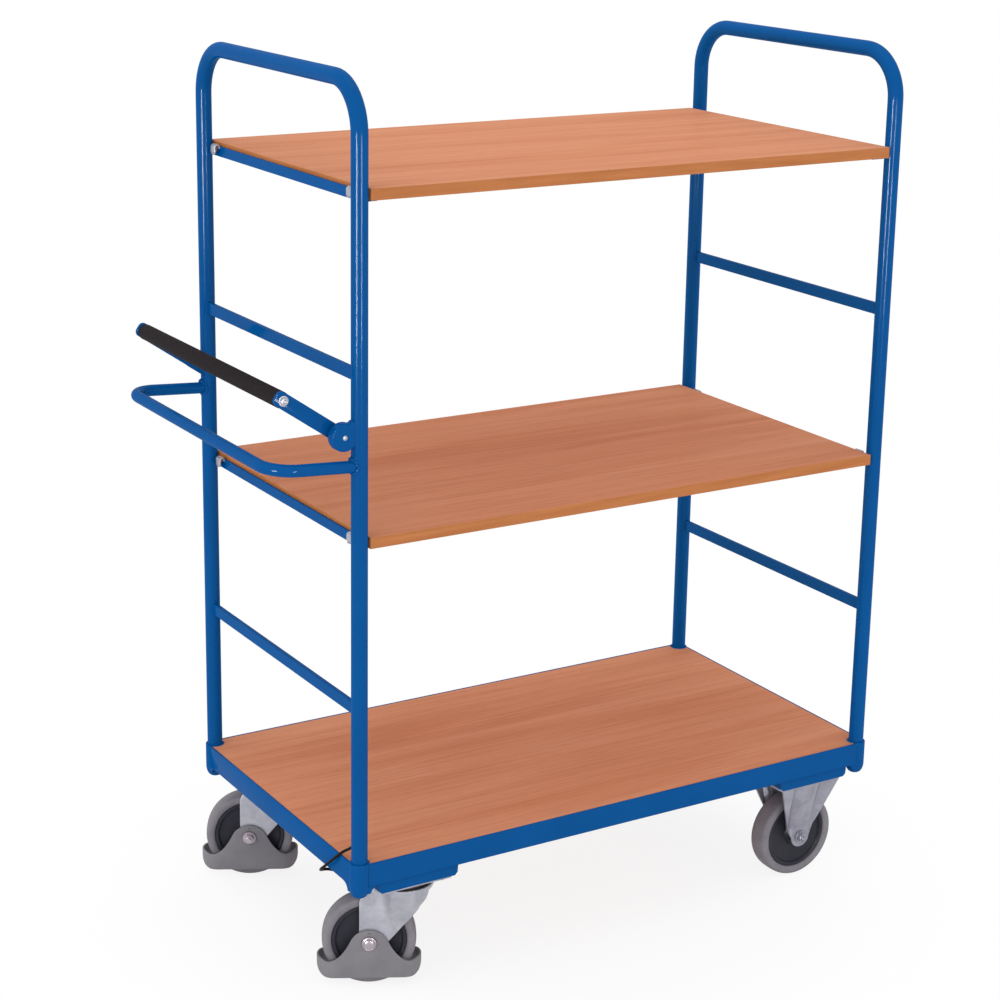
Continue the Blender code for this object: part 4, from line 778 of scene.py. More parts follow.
# %% Turn the foam sleeve
half_grip = arm_y - arm_thickness / 2 - hair
sleeve_profile = [
    (0.0094, -half_grip), (0.0116, -half_grip), (0.0129, -half_grip + 0.0010), (0.0134, -half_grip + 0.003),
    (0.0135, 0.0),
]
sleeve_profile += [(radius, -height) for radius, height in reversed(sleeve_profile[:-1])]
sleeve_profile.append(sleeve_profile[0])
sleeve = turned("foam_sleeve", sleeve_profile, (-lever_length, 0, 0), (0, 1, 0), 48)
on_lever(sleeve)
settle(sleeve, "lever", "black_foam", "grip_sleeve", degrees=50)

# %% [markdown]
# ## Deck ends
#
# The deck's end rails are folded sheet, and a round socket takes each post. Socket, rail and the small
# curved webs between them are welded into one piece, so they are modelled separately and joined.

# %% Make the deck ends
deck_z = 0.2588
rail_height = 0.0405
rail_foot_z = deck_z - rail_height
rail_reach = 0.0145
sheet = 0.0035
deck_board_thickness = 0.018
ledge_z = deck_z - deck_board_thickness - hair
ledge_reach = 0.028
socket_radius = 0.01685

# (across, up) of the folded rail, from its outer face inwards.
rail_section = [
    (0.0, rail_foot_z), (sheet, rail_foot_z), (sheet, ledge_z - sheet), (ledge_reach - sheet, ledge_z - sheet),
    (ledge_reach - sheet, rail_foot_z), (ledge_reach, rail_foot_z), (ledge_reach, ledge_z), (sheet, ledge_z),
    (sheet, deck_z), (0.0, deck_z),
]
socket_profile = [
    (0.0139, 0.2600), (0.0157, 0.2600), (0.0165, 0.2597), (socket_radius, 0.2590), (socket_radius, 0.2170),
    (0.01665, 0.2130), (0.0158, 0.2085), (0.0142, 0.2040), (0.0118, 0.2005), (0.0090, 0.1985), (0.0060, 0.1980),
    (0.0, 0.1980),
]


def web_piece(name, x, y, along_x, along_y, top):
    """The curved web that runs from a rail's lower edge down into the socket."""
    foot = rail_foot_z - 0.012
    wall = socket_radius - 0.0024
    outer = socket_radius + 0.013
    curve = [
        (wall + (outer - wall) * (1 - math.cos(turn)), foot + (top - foot) * math.sin(turn))
        for turn in [math.pi / 2 * step / 12 for step in range(12)]
    ]
    outline = [(socket_radius / 2, top), (socket_radius / 2, foot)] + curve + [(outer, top)]
    inset = rail_reach - sheet / 2
    if along_x:
        face = inset * (1 if y > 0 else -1) - sheet / 2
        points = [at(x + along_x * along, y + face, up) for along, up in outline]
        return slab(name, points, (0, sheet - hair, 0))
    face = inset * (1 if x > 0 else -1) - sheet / 2
    points = [at(x + face, y + along_y * along, up) for along, up in outline]
    return slab(name, points, (sheet - hair, 0, 0))


for end, x in ENDS.items():
    inward = 1 if end == "left" else -1
    section = [(inward * (across - rail_reach), up) for across, up in rail_section]
    rail = slab("rail", [at(x + across, -half_y, up) for across, up in section], (0, 2 * half_y, 0))
    soften(rail, 0.0009)
    parts = [rail]
    for side, sign in SIDES.items():
        y = sign * half_y
        parts.append(turned("socket", socket_profile, at(x, y, 0), (0, 0, 1), 48))
        parts.append(web_piece("web_end", x, y, 0, -sign, rail_foot_z + hair))
        parts.append(web_piece("web_rail", x, y, inward, 0, rail_foot_z - hair))
    end_piece = joined(f"deck_end_rail_{end}", parts)
    settle(end_piece, "frame", "blue_powder_coat", f"deck_end_{end}")

# %% [markdown]
# ## Wheels
#
# Tyre and hub are turned. The tread is crowned with round shoulders. The hub's side has the steps that
# catch the light: a rim, a recessed web, and the long boss round the axle. One wheel is made for each axle,
# because each has its own direction.

# %% Turn the wheels
wheel_radius = 0.080
rim_radius = wheel_radius - 0.0165
joint_of = {joint["child"]: joint for joint in frame["joints"]}


def mirrored(profile):
    """Adds the other half of a profile that is the same on both sides, and closes it."""
    whole = profile + [(radius, -height) for radius, height in reversed(profile)]
    return whole + [whole[0]]


tyre_profile = [
    (rim_radius + 0.0003, 0.0150), (rim_radius + 0.0012, 0.0178), (rim_radius + 0.0042, 0.0193),
    (rim_radius + 0.0085, 0.0199), (rim_radius + 0.0125, 0.0192), (rim_radius + 0.0146, 0.0172),
    (rim_radius + 0.0158, 0.0138), (rim_radius + 0.0163, 0.0090), (rim_radius + 0.0165, 0.0030),
]
hub_profile = [
    (0.0053, 0.0222), (0.0108, 0.0222), (0.0116, 0.0216), (0.0118, 0.0192), (0.0160, 0.0188), (0.0196, 0.0180),
    (0.0208, 0.0164), (0.0218, 0.0122), (0.0230, 0.0108), (0.0250, 0.0105), (0.0532, 0.0105),
    (0.0552, 0.0112), (0.0564, 0.0134), (0.0572, 0.0156), (0.0584, 0.0166), (rim_radius - 0.0012, 0.0166),
    (rim_radius, 0.0155),
]
for end in ENDS:
    for side in SIDES:
        joint = joint_of[f"wheel_{end}_{side}"]
        name = f"{end}_{side}"
        tyre = turned(f"tread_{name}", mirrored(tyre_profile), joint["pos_m"], joint["axis"], 96)
        settle(tyre, f"wheel_{name}", "grey_tyre", f"tyre_{name}", degrees=60)
        hub = turned(f"wheel_centre_{name}", mirrored(hub_profile), joint["pos_m"], joint["axis"], 96)
        settle(hub, f"wheel_{name}", "dark_hub", f"hub_{name}", degrees=40)

# %% [markdown]
# ## Axle bolts
#
# The near swivel castor shows the round head of its axle bolt. The other castor of that pair and the fixed
# ones show the nut, with the end of the screw standing out of it. The ends that face away get a plain
# hexagon. Each sits on a washer. A hexagon starts as a six-sided cylinder, and its corners are rounded off
# by what it shares with a turned dome.

# %% Make heads, nuts and washers


def hexagon(name, width, height, place, axis):
    """A hexagon of that width over its corners, which are rounded off at the top."""
    start_clean()
    bpy.ops.mesh.primitive_cylinder_add(vertices=6, radius=width / 2, depth=height, location=(0, 0, height / 2))
    head = bpy.context.object
    head.name = name
    tidy(head)
    dome = turned("dome", [
        (0.0, -0.001), (width * 0.6, -0.001), (width * 0.6, height * 0.55), (width * 0.47, height * 0.80),
        (width * 0.40, height), (0.0, height),
    ], (0, 0, 0), (0, 0, 1), 48)
    cut(head, dome, "INTERSECT")
    aim(head, place, axis)
    tidy(head)
    return head


def washer(radius, thickness, place, axis, steps, sink=0.0):
    """A washer with its upper edge taken off, let into what it lies on by a little."""
    edge = 0.0004
    profile = [
        (0.0, -sink), (radius, -sink), (radius, thickness - edge), (radius - edge, thickness), (0.0, thickness),
    ]
    return turned("washer", profile, place, axis, steps)


def round_head(place, axis):
    """A turned head with a soft dome, as the near castor shows it."""
    profile = [
        (0.0, 0.0066), (0.0046, 0.0065), (0.0070, 0.0061), (0.0086, 0.0051), (0.0095, 0.0034), (0.0097, 0.0016),
        (0.0104, 0.0013), (0.0112, 0.0016), (0.0122, 0.0012), (0.0124, 0.0), (0.0, 0.0),
    ]
    return turned("head", profile, place, axis, 48)


def nut_and_screw(place, axis):
    """A nut on its washer with the end of the screw standing out of it."""
    washer_thickness = 0.0014
    screw = [(0.0, 0.0), (0.0048, 0.0), (0.0048, 0.0120), (0.0041, 0.0130), (0.0, 0.0130)]
    nut = hexagon("nut", 0.0186, 0.0080, place + axis * washer_thickness, axis)
    under = washer(0.0122, washer_thickness, place, axis, 40)
    return joined("nut", [nut, under, turned("screw", screw, place, axis, 24)])


# %% [markdown]
# A bolt is its shank and two ends. Where the ends sit depends on how wide the fork is.

# %% Make the axle bolts
shank_radius = 0.005
swivel_seat, fixed_seat = 0.0312, 0.0293


def axle_bolt(name, joint, seat, body, node, near_head, finish):
    """A bolt through a fork, with the end that faces the camera made by near_head."""
    middle = Vector(joint["pos_m"])
    far = Vector(joint["axis"]).normalized()
    near = -far
    shank = [(0.0, -seat), (shank_radius, -seat), (shank_radius, seat), (0.0, seat)]
    bolt = joined(name, [
        turned("shank", shank, middle, far, 24),
        near_head(middle + near * (seat + 0.0010), near),
        hexagon("hexagon", 0.0196, 0.0066, middle + far * (seat + 0.0012), far),
        washer(0.0118, 0.0013, middle + far * seat, far, 40),
    ])
    settle(bolt, body, "zinc_plate", node, finish=finish, degrees=25)


for side in SIDES:
    head = round_head if side == "near" else nut_and_screw
    left, right = joint_of[f"wheel_left_{side}"], joint_of[f"wheel_right_{side}"]
    axle_bolt(
        f"swivel_axle_{side}", left, swivel_seat, f"swivel_{side}", f"axle_bolt_left_{side}", head, rosy_zinc
    )
    # The fixed castor's bolt takes the darker zinc, which is painted shade under the deck.
    axle_bolt(
        f"fixed_axle_{side}", right, fixed_seat, "frame", f"axle_bolt_right_{side}", nut_and_screw, shaded_zinc
    )

# %% [markdown]
# ## Swivel forks
#
# The pressed fork is the hardest shape here. Its rear is a flat, upright strip, and in front of a rounded
# crease the sheet swings outwards until it meets the round dish that holds the bearing. A grid stands for
# the sheet: each of its points is moved to its place by height and by share of the width at that height.
#
# First the leg is drawn flat, from the side. Its foot is round, a straight edge leaves it at a tangent, and
# from there the front edge runs through a few places up to the dish.

# %% Draw the fork's edges
fork_sheet = 0.0035
fork_outer = 0.0265
fork_end_radius = 0.0208
fork_end_forward = 0.004
fork_front = (0.0666, 0.122)
fork_top_z = 0.1864
fork_trail = 0.0547
rear_fold_z = 0.152
crown_radius = 0.0555
top_reach = fork_trail + math.sqrt(crown_radius**2 - fork_outer**2) - fork_sheet
fork_places = [
    fork_front, (0.0816, 0.146), (0.0850, 0.154), (0.0920, 0.162), (0.0975, 0.172), (top_reach, fork_top_z),
]


def ease(share):
    """Turns an even rise from nought to one into one that starts and ends gently."""
    share = min(max(share, 0), 1)
    return share * share * (3 - 2 * share)


def through(places, z):
    """A smooth front edge through (forward, up) places."""
    for index in range(len(places) - 1):
        low, high = places[index], places[index + 1]
        if z <= high[1] or index == len(places) - 2:
            before = places[max(index - 1, 0)]
            after = places[min(index + 2, len(places) - 1)]
            span = high[1] - low[1]
            start = (high[0] - before[0]) / (high[1] - before[1]) * span
            end = (after[0] - low[0]) / (after[1] - low[1]) * span
            t = min(max((z - low[1]) / span, 0), 1)
            rise = low[0] * (2 * t**3 - 3 * t**2 + 1) + high[0] * (3 * t**2 - 2 * t**3)
            return rise + start * (t**3 - 2 * t**2 + t) + end * (t**3 - t**2)


def fork_edges(z):
    """Rear and front end of the leg at a height above the floor."""
    rise = fork_front[1] - wheel_radius
    reach = math.hypot(fork_front[0] - fork_end_forward, rise)
    heading = math.atan2(fork_front[0] - fork_end_forward, rise) - math.asin(fork_end_radius / reach)
    touch_x = fork_end_forward + fork_end_radius * math.cos(heading)
    touch_z = wheel_radius - fork_end_radius * math.sin(heading)
    below = max(wheel_radius - z, 0)
    half = math.sqrt(max(fork_end_radius**2 - below**2, 0))
    rear = fork_end_forward - half
    rear_share = ease((z - rear_fold_z) / (fork_top_z - rear_fold_z))
    rear = rear * (1 - rear_share) + fork_sheet * rear_share
    if z < touch_z:
        return rear, fork_end_forward + half
    if z > fork_front[1]:
        return rear, through(fork_places, z)
    return rear, touch_x + (z - touch_z) * math.tan(heading)


print("the fork's front edge:", [round(fork_edges(z)[1], 4) for z in (0.08, 0.12, 0.16)])

# %% [markdown]
# Then the sheet is pressed: in front of the crease and above the flare's start, it swings out to the round
# lip of the dish. The grid's rows are closer together near the foot, where the edge curves most.

# %% Press the sheet
fork_lip = crown_radius + 0.0006
flare_z = 0.106
crease_x, crease_width = 0.019, 0.018


def fork_side(x, z):
    """How far the sheet stands out from the fork's middle."""
    round_reach = math.sqrt(max(fork_lip**2 - (x - fork_trail) ** 2, 0))
    flare = max(round_reach - fork_outer, 0)
    rise = ease((z - flare_z) / (fork_top_z - flare_z))
    return fork_outer + flare * rise * ease((x - crease_x) / crease_width)


def pressed_leg(name, columns, rows, foot_z, top_z, edges, side, thickness, crowding):
    """A grid whose points are moved onto the leg, made solid and copied to the other side."""
    start_clean()
    bpy.ops.mesh.primitive_grid_add(x_subdivisions=columns, y_subdivisions=rows, size=1, location=(0.5, 0.5, 0))
    leg = bpy.context.object
    leg.name = name
    apply_all(leg)
    for vertex in leg.data.vertices:
        along, up = vertex.co.x, vertex.co.y
        z = foot_z + (top_z - foot_z) * up**crowding
        rear, front = edges(z)
        x = rear + (front - rear) * along
        vertex.co = Vector((x, -side(x, z), z))
    # The lowest row has shrunk to one place: its points are merged before the sheet gets its thickness.
    edit(leg)
    bpy.ops.mesh.remove_doubles(threshold=0.000002)
    bpy.ops.object.mode_set(mode="OBJECT")
    solid = leg.modifiers.new("sheet", "SOLIDIFY")
    solid.thickness = thickness
    solid.offset = -1
    soft = leg.modifiers.new("pressed edge", "BEVEL")
    soft.width = 0.0007
    soft.segments = 2
    soft.angle_limit = math.radians(50)
    other = leg.modifiers.new("other leg", "MIRROR")
    other.use_axis = (False, True, False)
    other.use_mirror_merge = False
    tidy(leg)
    return leg


# %% [markdown]
# The dish is turned about the kingpin, joined to the two legs, and the whole fork is turned to where its
# wheel heads.

# %% Join the dish and turn the forks
dish_profile = [
    (0.0083, 0.1725), (0.0083, 0.1760), (0.0440, 0.1760), (0.0462, 0.1766), (0.0480, 0.1783), (0.0514, 0.1846),
    (0.0522, 0.1857), (0.0534, 0.1861), (0.0546, 0.1858), (0.0550, 0.1848), (0.0549, 0.1815), (0.0532, 0.1772),
    (0.0505, 0.1742), (0.0470, 0.1727), (0.0440, 0.1725), (0.0083, 0.1725),
]


def heading_of(axle):
    """How far a castor is turned away from straight ahead."""
    return math.atan2(-axle["axis"][0], axle["axis"][1])


for side in SIDES:
    axle = joint_of[f"wheel_left_{side}"]
    leg = pressed_leg(
        f"pressed_fork_{side}", 30, 44, wheel_radius - fork_end_radius, fork_top_z, fork_edges, fork_side,
        fork_sheet, crowding=1.35
    )
    dish = turned("dish", dish_profile, (fork_trail, 0, 0), (0, 0, 1), 96)
    fork = joined(f"pressed_fork_{side}", [leg, dish])
    place = Vector((axle["pos_m"][0], axle["pos_m"][1], 0))
    fork.matrix_world = Matrix.Translation(place) @ Matrix.Rotation(heading_of(axle), 4, "Z")
    apply_all(fork)
    settle(fork, f"swivel_{side}", "zinc_plate", f"swivel_fork_{side}", degrees=40)

# %% [markdown]
# ## Swivel plates
#
# The plate is bolted under the deck. Below it sits the bearing's race, and the dark seal between race and
# dish is what the camera sees as a black crescent. The king bolt's head closes the bearing from below.

# %% Cut the plates
plate_top_z = 0.1977
plate_sheet = 0.004
plate_foot_z = plate_top_z - plate_sheet
plate_half = (0.070, 0.055)
plate_corner = 0.010


def castor_plate(name, x, y):
    """A flat plate whose four upright edges are rounded wide, and the others a little."""
    start_clean()
    middle = at(x, y, (plate_top_z + plate_foot_z) / 2)
    scale = (2 * plate_half[0], 2 * plate_half[1], plate_sheet)
    bpy.ops.mesh.primitive_cube_add(size=1, location=middle, scale=scale)
    plate = bpy.context.object
    plate.name = name
    apply_all(plate)
    edit(plate)
    bpy.ops.mesh.select_mode(type="EDGE")
    bpy.ops.mesh.select_all(action="DESELECT")
    bpy.ops.object.mode_set(mode="OBJECT")
    for edge in plate.data.edges:
        first, second = (plate.data.vertices[index].co for index in edge.vertices)
        edge.select = abs(first.z - second.z) > plate_sheet / 2
    bpy.ops.object.mode_set(mode="EDIT")
    bpy.ops.mesh.bevel(offset=plate_corner, segments=6, affect="EDGES")
    bpy.ops.mesh.select_mode(type="VERT")
    bpy.ops.object.mode_set(mode="OBJECT")
    soften(plate, 0.0006, 2, 50)
    heights = [vertex.co.z for vertex in plate.data.vertices]
    print(name, "from", round(min(heights), 4), "to", round(max(heights), 4))
    return plate


# %% [markdown]
# A swivel castor sits where its kingpin is, and a fixed one over its axle.

# %% Put in plates, races and seals
race_profile = [
    (0.0, 0.1955), (0.042, 0.1955), (0.042, 0.1930), (0.0412, 0.1918), (0.0390, 0.1905), (0.0372, 0.1850),
    (0.0360, 0.1765), (0.008, 0.1763), (0.008, 0.1722), (0.0142, 0.1722), (0.0150, 0.1715), (0.0150, 0.1680),
    (0.0135, 0.1665), (0.0, 0.1662),
]
seal_profile = [
    (0.0400, 0.1790), (0.0455, 0.1795), (0.0482, 0.1840), (0.0492, 0.1885), (0.0490, 0.1925), (0.0480, 0.1931),
    (0.0400, 0.1931), (0.0400, 0.1790),
]
castor_places = {}
for side in SIDES:
    for end in ENDS:
        joint = joint_of[f"swivel_{side}"] if end == "left" else joint_of[f"wheel_right_{side}"]
        castor_places[end, side] = (joint["pos_m"][0] - left_x, joint["pos_m"][1] - middle_y)

for side in SIDES:
    x, y = castor_places["left", side]
    plate = castor_plate(f"top_plate_{side}", x, y)
    race = turned("race", race_profile, at(x, y, 0), (0, 0, 1), 72)
    both = joined(f"top_plate_{side}", [plate, race])
    settle(both, "frame", "zinc_plate", f"swivel_plate_{side}")
    seal = turned(f"bearing_seal_{side}", seal_profile, at(x, y, 0), (0, 0, 1), 72)
    settle(seal, "frame", "black_cable", finish=dark_seal)

# %% [markdown]
# Four bolts hold each plate. Their heads show as small bright hexagons under the plate's corners.

# %% Put in the plate bolts
bolt_x, bolt_y = 0.0535, 0.0385
down = Vector((0, 0, -1))
for (end, side), (x, y) in castor_places.items():
    heads = []
    for sign_x in (-1, 1):
        for sign_y in (-1, 1):
            spot = at(x + sign_x * bolt_x, y + sign_y * bolt_y, plate_foot_z)
            heads.append(hexagon("head", 0.0150, 0.0055, spot + down * 0.0010, down))
            heads.append(washer(0.0088, 0.0013, spot, down, 32, sink=0.0002))
    settle(joined(f"plate_bolts_{end}_{side}", heads), "frame", "zinc_plate", degrees=25)

# %% [markdown]
# ## Pedal rings
#
# The pedal is one moulded ring round the lower half of the wheel. Seen from the side it rises in a round
# hump over the axle and dips before each end. A cylinder with no ends is the start: each column of its
# points is moved to the ring's oval, and each row to its height between the lower and the upper edge.

# %% Draw the pedal ring
pedal_half_length = 0.0885
pedal_half_width = 0.031
pedal_wall = 0.0035
pedal_foot_z = 0.0162
pedal_end_round = 0.018
dip_x, dip_z = 0.074, 0.0455
dip_end_x, dip_end_rise = 0.085, 0.0025


def pedal_top(x):
    """The upper edge: a round hump, a hollow flank down to the dip, and a small rise at the end."""
    x = abs(x)
    hump_radius, hump_z, flank = 0.0344, 0.0697, math.radians(25)
    start_x = hump_radius * math.cos(flank)
    start_z = hump_z + hump_radius * math.sin(flank)
    if x <= start_x:
        return hump_z + math.sqrt(hump_radius**2 - x**2)
    if x <= dip_x:
        return dip_z + (start_z - dip_z) * (1 - (x - start_x) / (dip_x - start_x)) ** 2.32
    return dip_z + dip_end_rise * ease((x - dip_x) / (dip_end_x - dip_x))


def pedal_foot(x):
    """The lower edge is flat and rounds up towards the ends."""
    over = max(abs(x) - (pedal_half_length - pedal_end_round), 0)
    return pedal_foot_z + pedal_end_round - math.sqrt(max(pedal_end_round**2 - over**2, 0))


def pedal_oval(share):
    """Point on the ring's oval at a share of the way round, starting at the middle of the near side."""
    straight = pedal_half_length - pedal_half_width
    half_turn = math.pi * pedal_half_width
    way = share * (4 * straight + 2 * half_turn)
    if way <= straight:
        return way, -pedal_half_width
    way -= straight
    if way <= half_turn:
        turn = way / pedal_half_width - math.pi / 2
        return straight + pedal_half_width * math.cos(turn), pedal_half_width * math.sin(turn)
    way -= half_turn
    if way <= 2 * straight:
        return straight - way, pedal_half_width
    way -= 2 * straight
    if way <= half_turn:
        turn = way / pedal_half_width + math.pi / 2
        return pedal_half_width * math.cos(turn) - straight, pedal_half_width * math.sin(turn)
    return way - half_turn - straight, -pedal_half_width


print("pedal from", pedal_foot(0), "to", round(pedal_top(0), 4), "over the floor")

# %% [markdown]
# A wall is given to the ring by Solidify. Three tools are cut out of each side: a hole for the axle bolt,
# a shallow seat for its washer, and the small dimple that the mould leaves above it.

# %% Mould the pedal rings
axle_hole = [(0.0, -0.008), (0.0053, -0.008), (0.0053, 0.008), (0.0, 0.008)]
washer_seat = [(0.0, -0.0006), (0.0136, -0.0006), (0.0142, 0.003), (0.0, 0.003)]
dimple = [(0.0, -0.0016), (0.0013, -0.0016), (0.0016, 0.003), (0.0, 0.003)]
dimple_up = 0.0185


def moulded_pedal(name):
    start_clean()
    bpy.ops.mesh.primitive_cylinder_add(
        vertices=160, radius=1, depth=1, end_fill_type="NOTHING", location=(0, 0, 0.5)
    )
    ring = bpy.context.object
    ring.name = name
    apply_all(ring)
    edit(ring)
    bpy.ops.mesh.select_all(action="DESELECT")
    bpy.ops.object.mode_set(mode="OBJECT")
    for edge in ring.data.edges:
        first, second = (ring.data.vertices[index].co for index in edge.vertices)
        edge.select = abs(first.z - second.z) > 0.5
    bpy.ops.object.mode_set(mode="EDIT")
    bpy.ops.mesh.select_mode(type="EDGE")
    bpy.ops.mesh.subdivide_edgering(number_cuts=9, smoothness=0)
    bpy.ops.mesh.select_mode(type="VERT")
    bpy.ops.object.mode_set(mode="OBJECT")
    for vertex in ring.data.vertices:
        share = (math.atan2(vertex.co.y, vertex.co.x) / math.tau) % 1.0
        x, y = pedal_oval(share)
        low, high = pedal_foot(x), pedal_top(x)
        vertex.co = Vector((x, y, low + (high - low) * vertex.co.z - wheel_radius))
    wall = ring.modifiers.new("wall", "SOLIDIFY")
    wall.thickness = pedal_wall
    wall.offset = -1
    soft = ring.modifiers.new("soft rim", "BEVEL")
    soft.width = 0.0009
    soft.segments = 3
    soft.angle_limit = math.radians(50)
    tidy(ring)
    return ring


for side in SIDES:
    ring = moulded_pedal(f"pedal_moulding_{side}")
    for sign in SIDES.values():
        wall_y, out = sign * pedal_half_width, (0, sign, 0)
        cut(ring, turned("hole", axle_hole, (0, wall_y, 0), (0, 1, 0), 32))
        cut(ring, turned("seat", washer_seat, (0, wall_y, 0), out, 48))
        cut(ring, turned("dimple", dimple, (0, wall_y, dimple_up), out, 20))
    axle = joint_of[f"wheel_left_{side}"]
    ring.matrix_world = Matrix.Translation(Vector(axle["pos_m"])) @ Matrix.Rotation(heading_of(axle), 4, "Z")
    apply_all(ring)
    settle(ring, f"pedal_{side}", "pedal_grey", f"pedal_ring_{side}", degrees=40)

# %% [markdown]
# ## Fixed forks
#
# The fixed castors have a simpler fork: plate and legs bent from one sheet. Each leg has a raised strip
# down its middle, from the plate to the round foot, and leans out to the plate's edge.

# %% Press the fixed forks
fixed_outer = 0.0290
fixed_foot_radius = 0.0200
fixed_upright_z = 0.100
fixed_top_z = 0.1957
fixed_top_half = 0.066
fixed_sheet = 0.0035
relief_depth = 0.0075


def fixed_edges(z):
    """Rear and front end of the leg: a half circle round the axle, then a spread up to the plate."""
    if z < wheel_radius:
        half = math.sqrt(max(fixed_foot_radius**2 - (wheel_radius - z) ** 2, 0))
    else:
        share = (z - wheel_radius) / (fixed_top_z - wheel_radius)
        half = fixed_foot_radius + (fixed_top_half - fixed_foot_radius) * share**0.9
    return -half, half


def fixed_side(x, z):
    """The leg leans out, its middle stands forward as a ridge, and its edges are folded back out."""
    share = max((z - fixed_upright_z) / (fixed_top_z - fixed_upright_z), 0)
    rise = min(max((z - wheel_radius) / (fixed_top_z - wheel_radius), 0), 1)
    lean = (plate_half[1] - fixed_outer) * share
    crest = 0.020 * (1 - rise) + 0.0130 * rise
    crease = 0.021 * (1 - rise) + 0.030 * rise
    depth = relief_depth * min(rise * 3, 1)
    away = min(max((abs(x) - crest) / max(crease - crest, 0.002), 0), 1)
    back = 0.0
    if abs(x) > crease:
        back = min((abs(x) - crease) / 0.010, 1)
    return fixed_outer + lean - depth * (away - 0.85 * back)


for side in SIDES:
    x, y = castor_places["right", side]
    leg = pressed_leg(
        f"fixed_fork_sheet_{side}", 40, 40, wheel_radius - fixed_foot_radius, fixed_top_z, fixed_edges,
        fixed_side, fixed_sheet, crowding=1.3
    )
    leg.matrix_world = Matrix.Translation(at(x, y, 0))
    apply_all(leg)
    plate = castor_plate("plate", x, y)
    fork = joined(f"fixed_fork_sheet_{side}", [leg, plate])
    # The darker, bluer zinc paints the shade under the deck onto the fixed fork.
    settle(fork, "frame", "zinc_plate", f"fixed_fork_{side}", finish=shaded_zinc, degrees=40)

# %% [markdown]
# ## Bent clips
#
# A strip of sheet is bent over where a shelf angle meets its post: a short leg lies on the angle, and the
# long one stands free, with rounded corners. It is drawn from the side, given its width and softened.

# %% Bend the clips
clip_sheet = 0.002
clip_corner = 0.0035


def bent_clip(name, low, high, inward):
    """A clip that fills the box of its solid. The short leg's end is the outline's tail."""
    radius = (high.x - low.x) / 2
    middle = ((low.x + high.x) / 2, high.z - radius)
    outer = arc(middle, radius, 180, 0, 20)
    inner = arc(middle, radius - clip_sheet, 0, 180, 20)
    tail = middle[1] - 0.0025
    outline = [(-1, low.z)] + outer + [(1, tail), (-2, tail)] + inner + [(-3, low.z)]
    places = {-1: low.x, 1: high.x, -2: high.x - clip_sheet, -3: low.x + clip_sheet}
    outline = [(places.get(x, x), z) for x, z in outline]
    if inward < 0:
        outline = [(low.x + high.x - x, z) for x, z in outline]
    strip = slab(name, [(x, low.y, z) for x, z in outline], (0, high.y - low.y, 0))
    edit(strip)
    bpy.ops.mesh.select_all(action="DESELECT")
    bpy.ops.object.mode_set(mode="OBJECT")
    for edge in strip.data.edges:
        ends = [strip.data.vertices[index].co for index in edge.vertices]
        level = all(abs(end.z - low.z) < 0.0001 for end in ends)
        edge.select = level and abs(ends[0].y - ends[1].y) < 0.0001
    bpy.ops.object.mode_set(mode="EDIT")
    bpy.ops.mesh.select_mode(type="EDGE")
    bpy.ops.mesh.bevel(offset=clip_corner, segments=5, affect="EDGES")
    bpy.ops.mesh.select_mode(type="VERT")
    bpy.ops.object.mode_set(mode="OBJECT")
    soften(strip, 0.0003, 2, 50)
    return strip


for level in ("top", "mid"):
    for end in ENDS:
        for side in SIDES:
            node = f"clip_{level}_{end}_{side}"
            low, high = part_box(node)
            strip = bent_clip(f"bent_{node}", low, high, 1 if end == "left" else -1)
            settle(strip, "frame", "zinc_plate", node, degrees=40)

# %% [markdown]
# ## Brake cable
#
# The cable leaves the near left post low down, loops out over the deck's end rail and runs back under it
# to its ferrule. It is held at both ends. A smooth curve runs through the same places as in the CAD model
# and a round section follows it.

# %% Lay the cable
cable_exit_z = 0.286
cable_radius = 0.0025
cable_places = [
    (0.000, 0.000, 0.036), (-0.001, 0.001, 0.020), (-0.003, 0.007, 0.005), (-0.007, 0.019, -0.008),
    (-0.0135, 0.033, -0.019), (-0.0215, 0.049, -0.036), (-0.0270, 0.066, -0.053), (-0.0292, 0.0775, -0.0635),
    (-0.0272, 0.0855, -0.0700), (-0.0205, 0.0885, -0.0720), (-0.0125, 0.0865, -0.0728), (-0.0030, 0.0810, -0.0745),
    (0.0050, 0.0765, -0.0768), (0.0121, 0.0740, -0.0777), (0.0171, 0.0740, -0.0777),
]


def smooth_route(places, steps):
    """A smooth curve that passes through every place and has no kink in any of them."""
    knots = [Vector(place) for place in places]
    ends = [2 * knots[0] - knots[1]] + knots + [2 * knots[-1] - knots[-2]]
    route = []
    for before, start, end, after in zip(ends, ends[1:], ends[2:], ends[3:]):
        for step in range(steps):
            t = step / steps
            route.append(0.5 * (
                2 * start + (end - before) * t + (2 * before - 5 * start + 4 * end - after) * t**2
                + (3 * start - before - 3 * end + after) * t**3
            ))
    route.append(knots[-1])
    return route


curve = bpy.data.curves.new("cable", "CURVE")
curve.dimensions = "3D"
curve.bevel_depth = cable_radius
curve.bevel_resolution = 5
curve.use_fill_caps = True
spline = curve.splines.new("POLY")
route = smooth_route([(x, y, cable_exit_z + z) for x, y, z in cable_places], 5)
spline.points.add(len(route) - 1)
for point, place in zip(spline.points, route):
    point.co = (*at(place.x, place.y - half_y, place.z), 1)
cable = bpy.data.objects.new("cable_sheath", curve)
bpy.context.scene.collection.objects.link(cable)
pick(cable)
bpy.ops.object.convert(target="MESH")
cable = bpy.context.object
tidy(cable)
settle(cable, "frame", "black_cable", "brake_cable", degrees=60)

# %% [markdown]
# ## Floor and light
#
# The trolley stands in a white room. The floor keeps a soft shadow under the trolley and fades to white
# away from it. What the camera sees of the room is plain white, and so is what the metal and the lacquer
# mirror. Light Path tells these rays from the ones that carry light to the trolley.

# %% Make the floor
shadow_radius, white_radius = 0.30, 1.10
white_at_shadow = 0.84


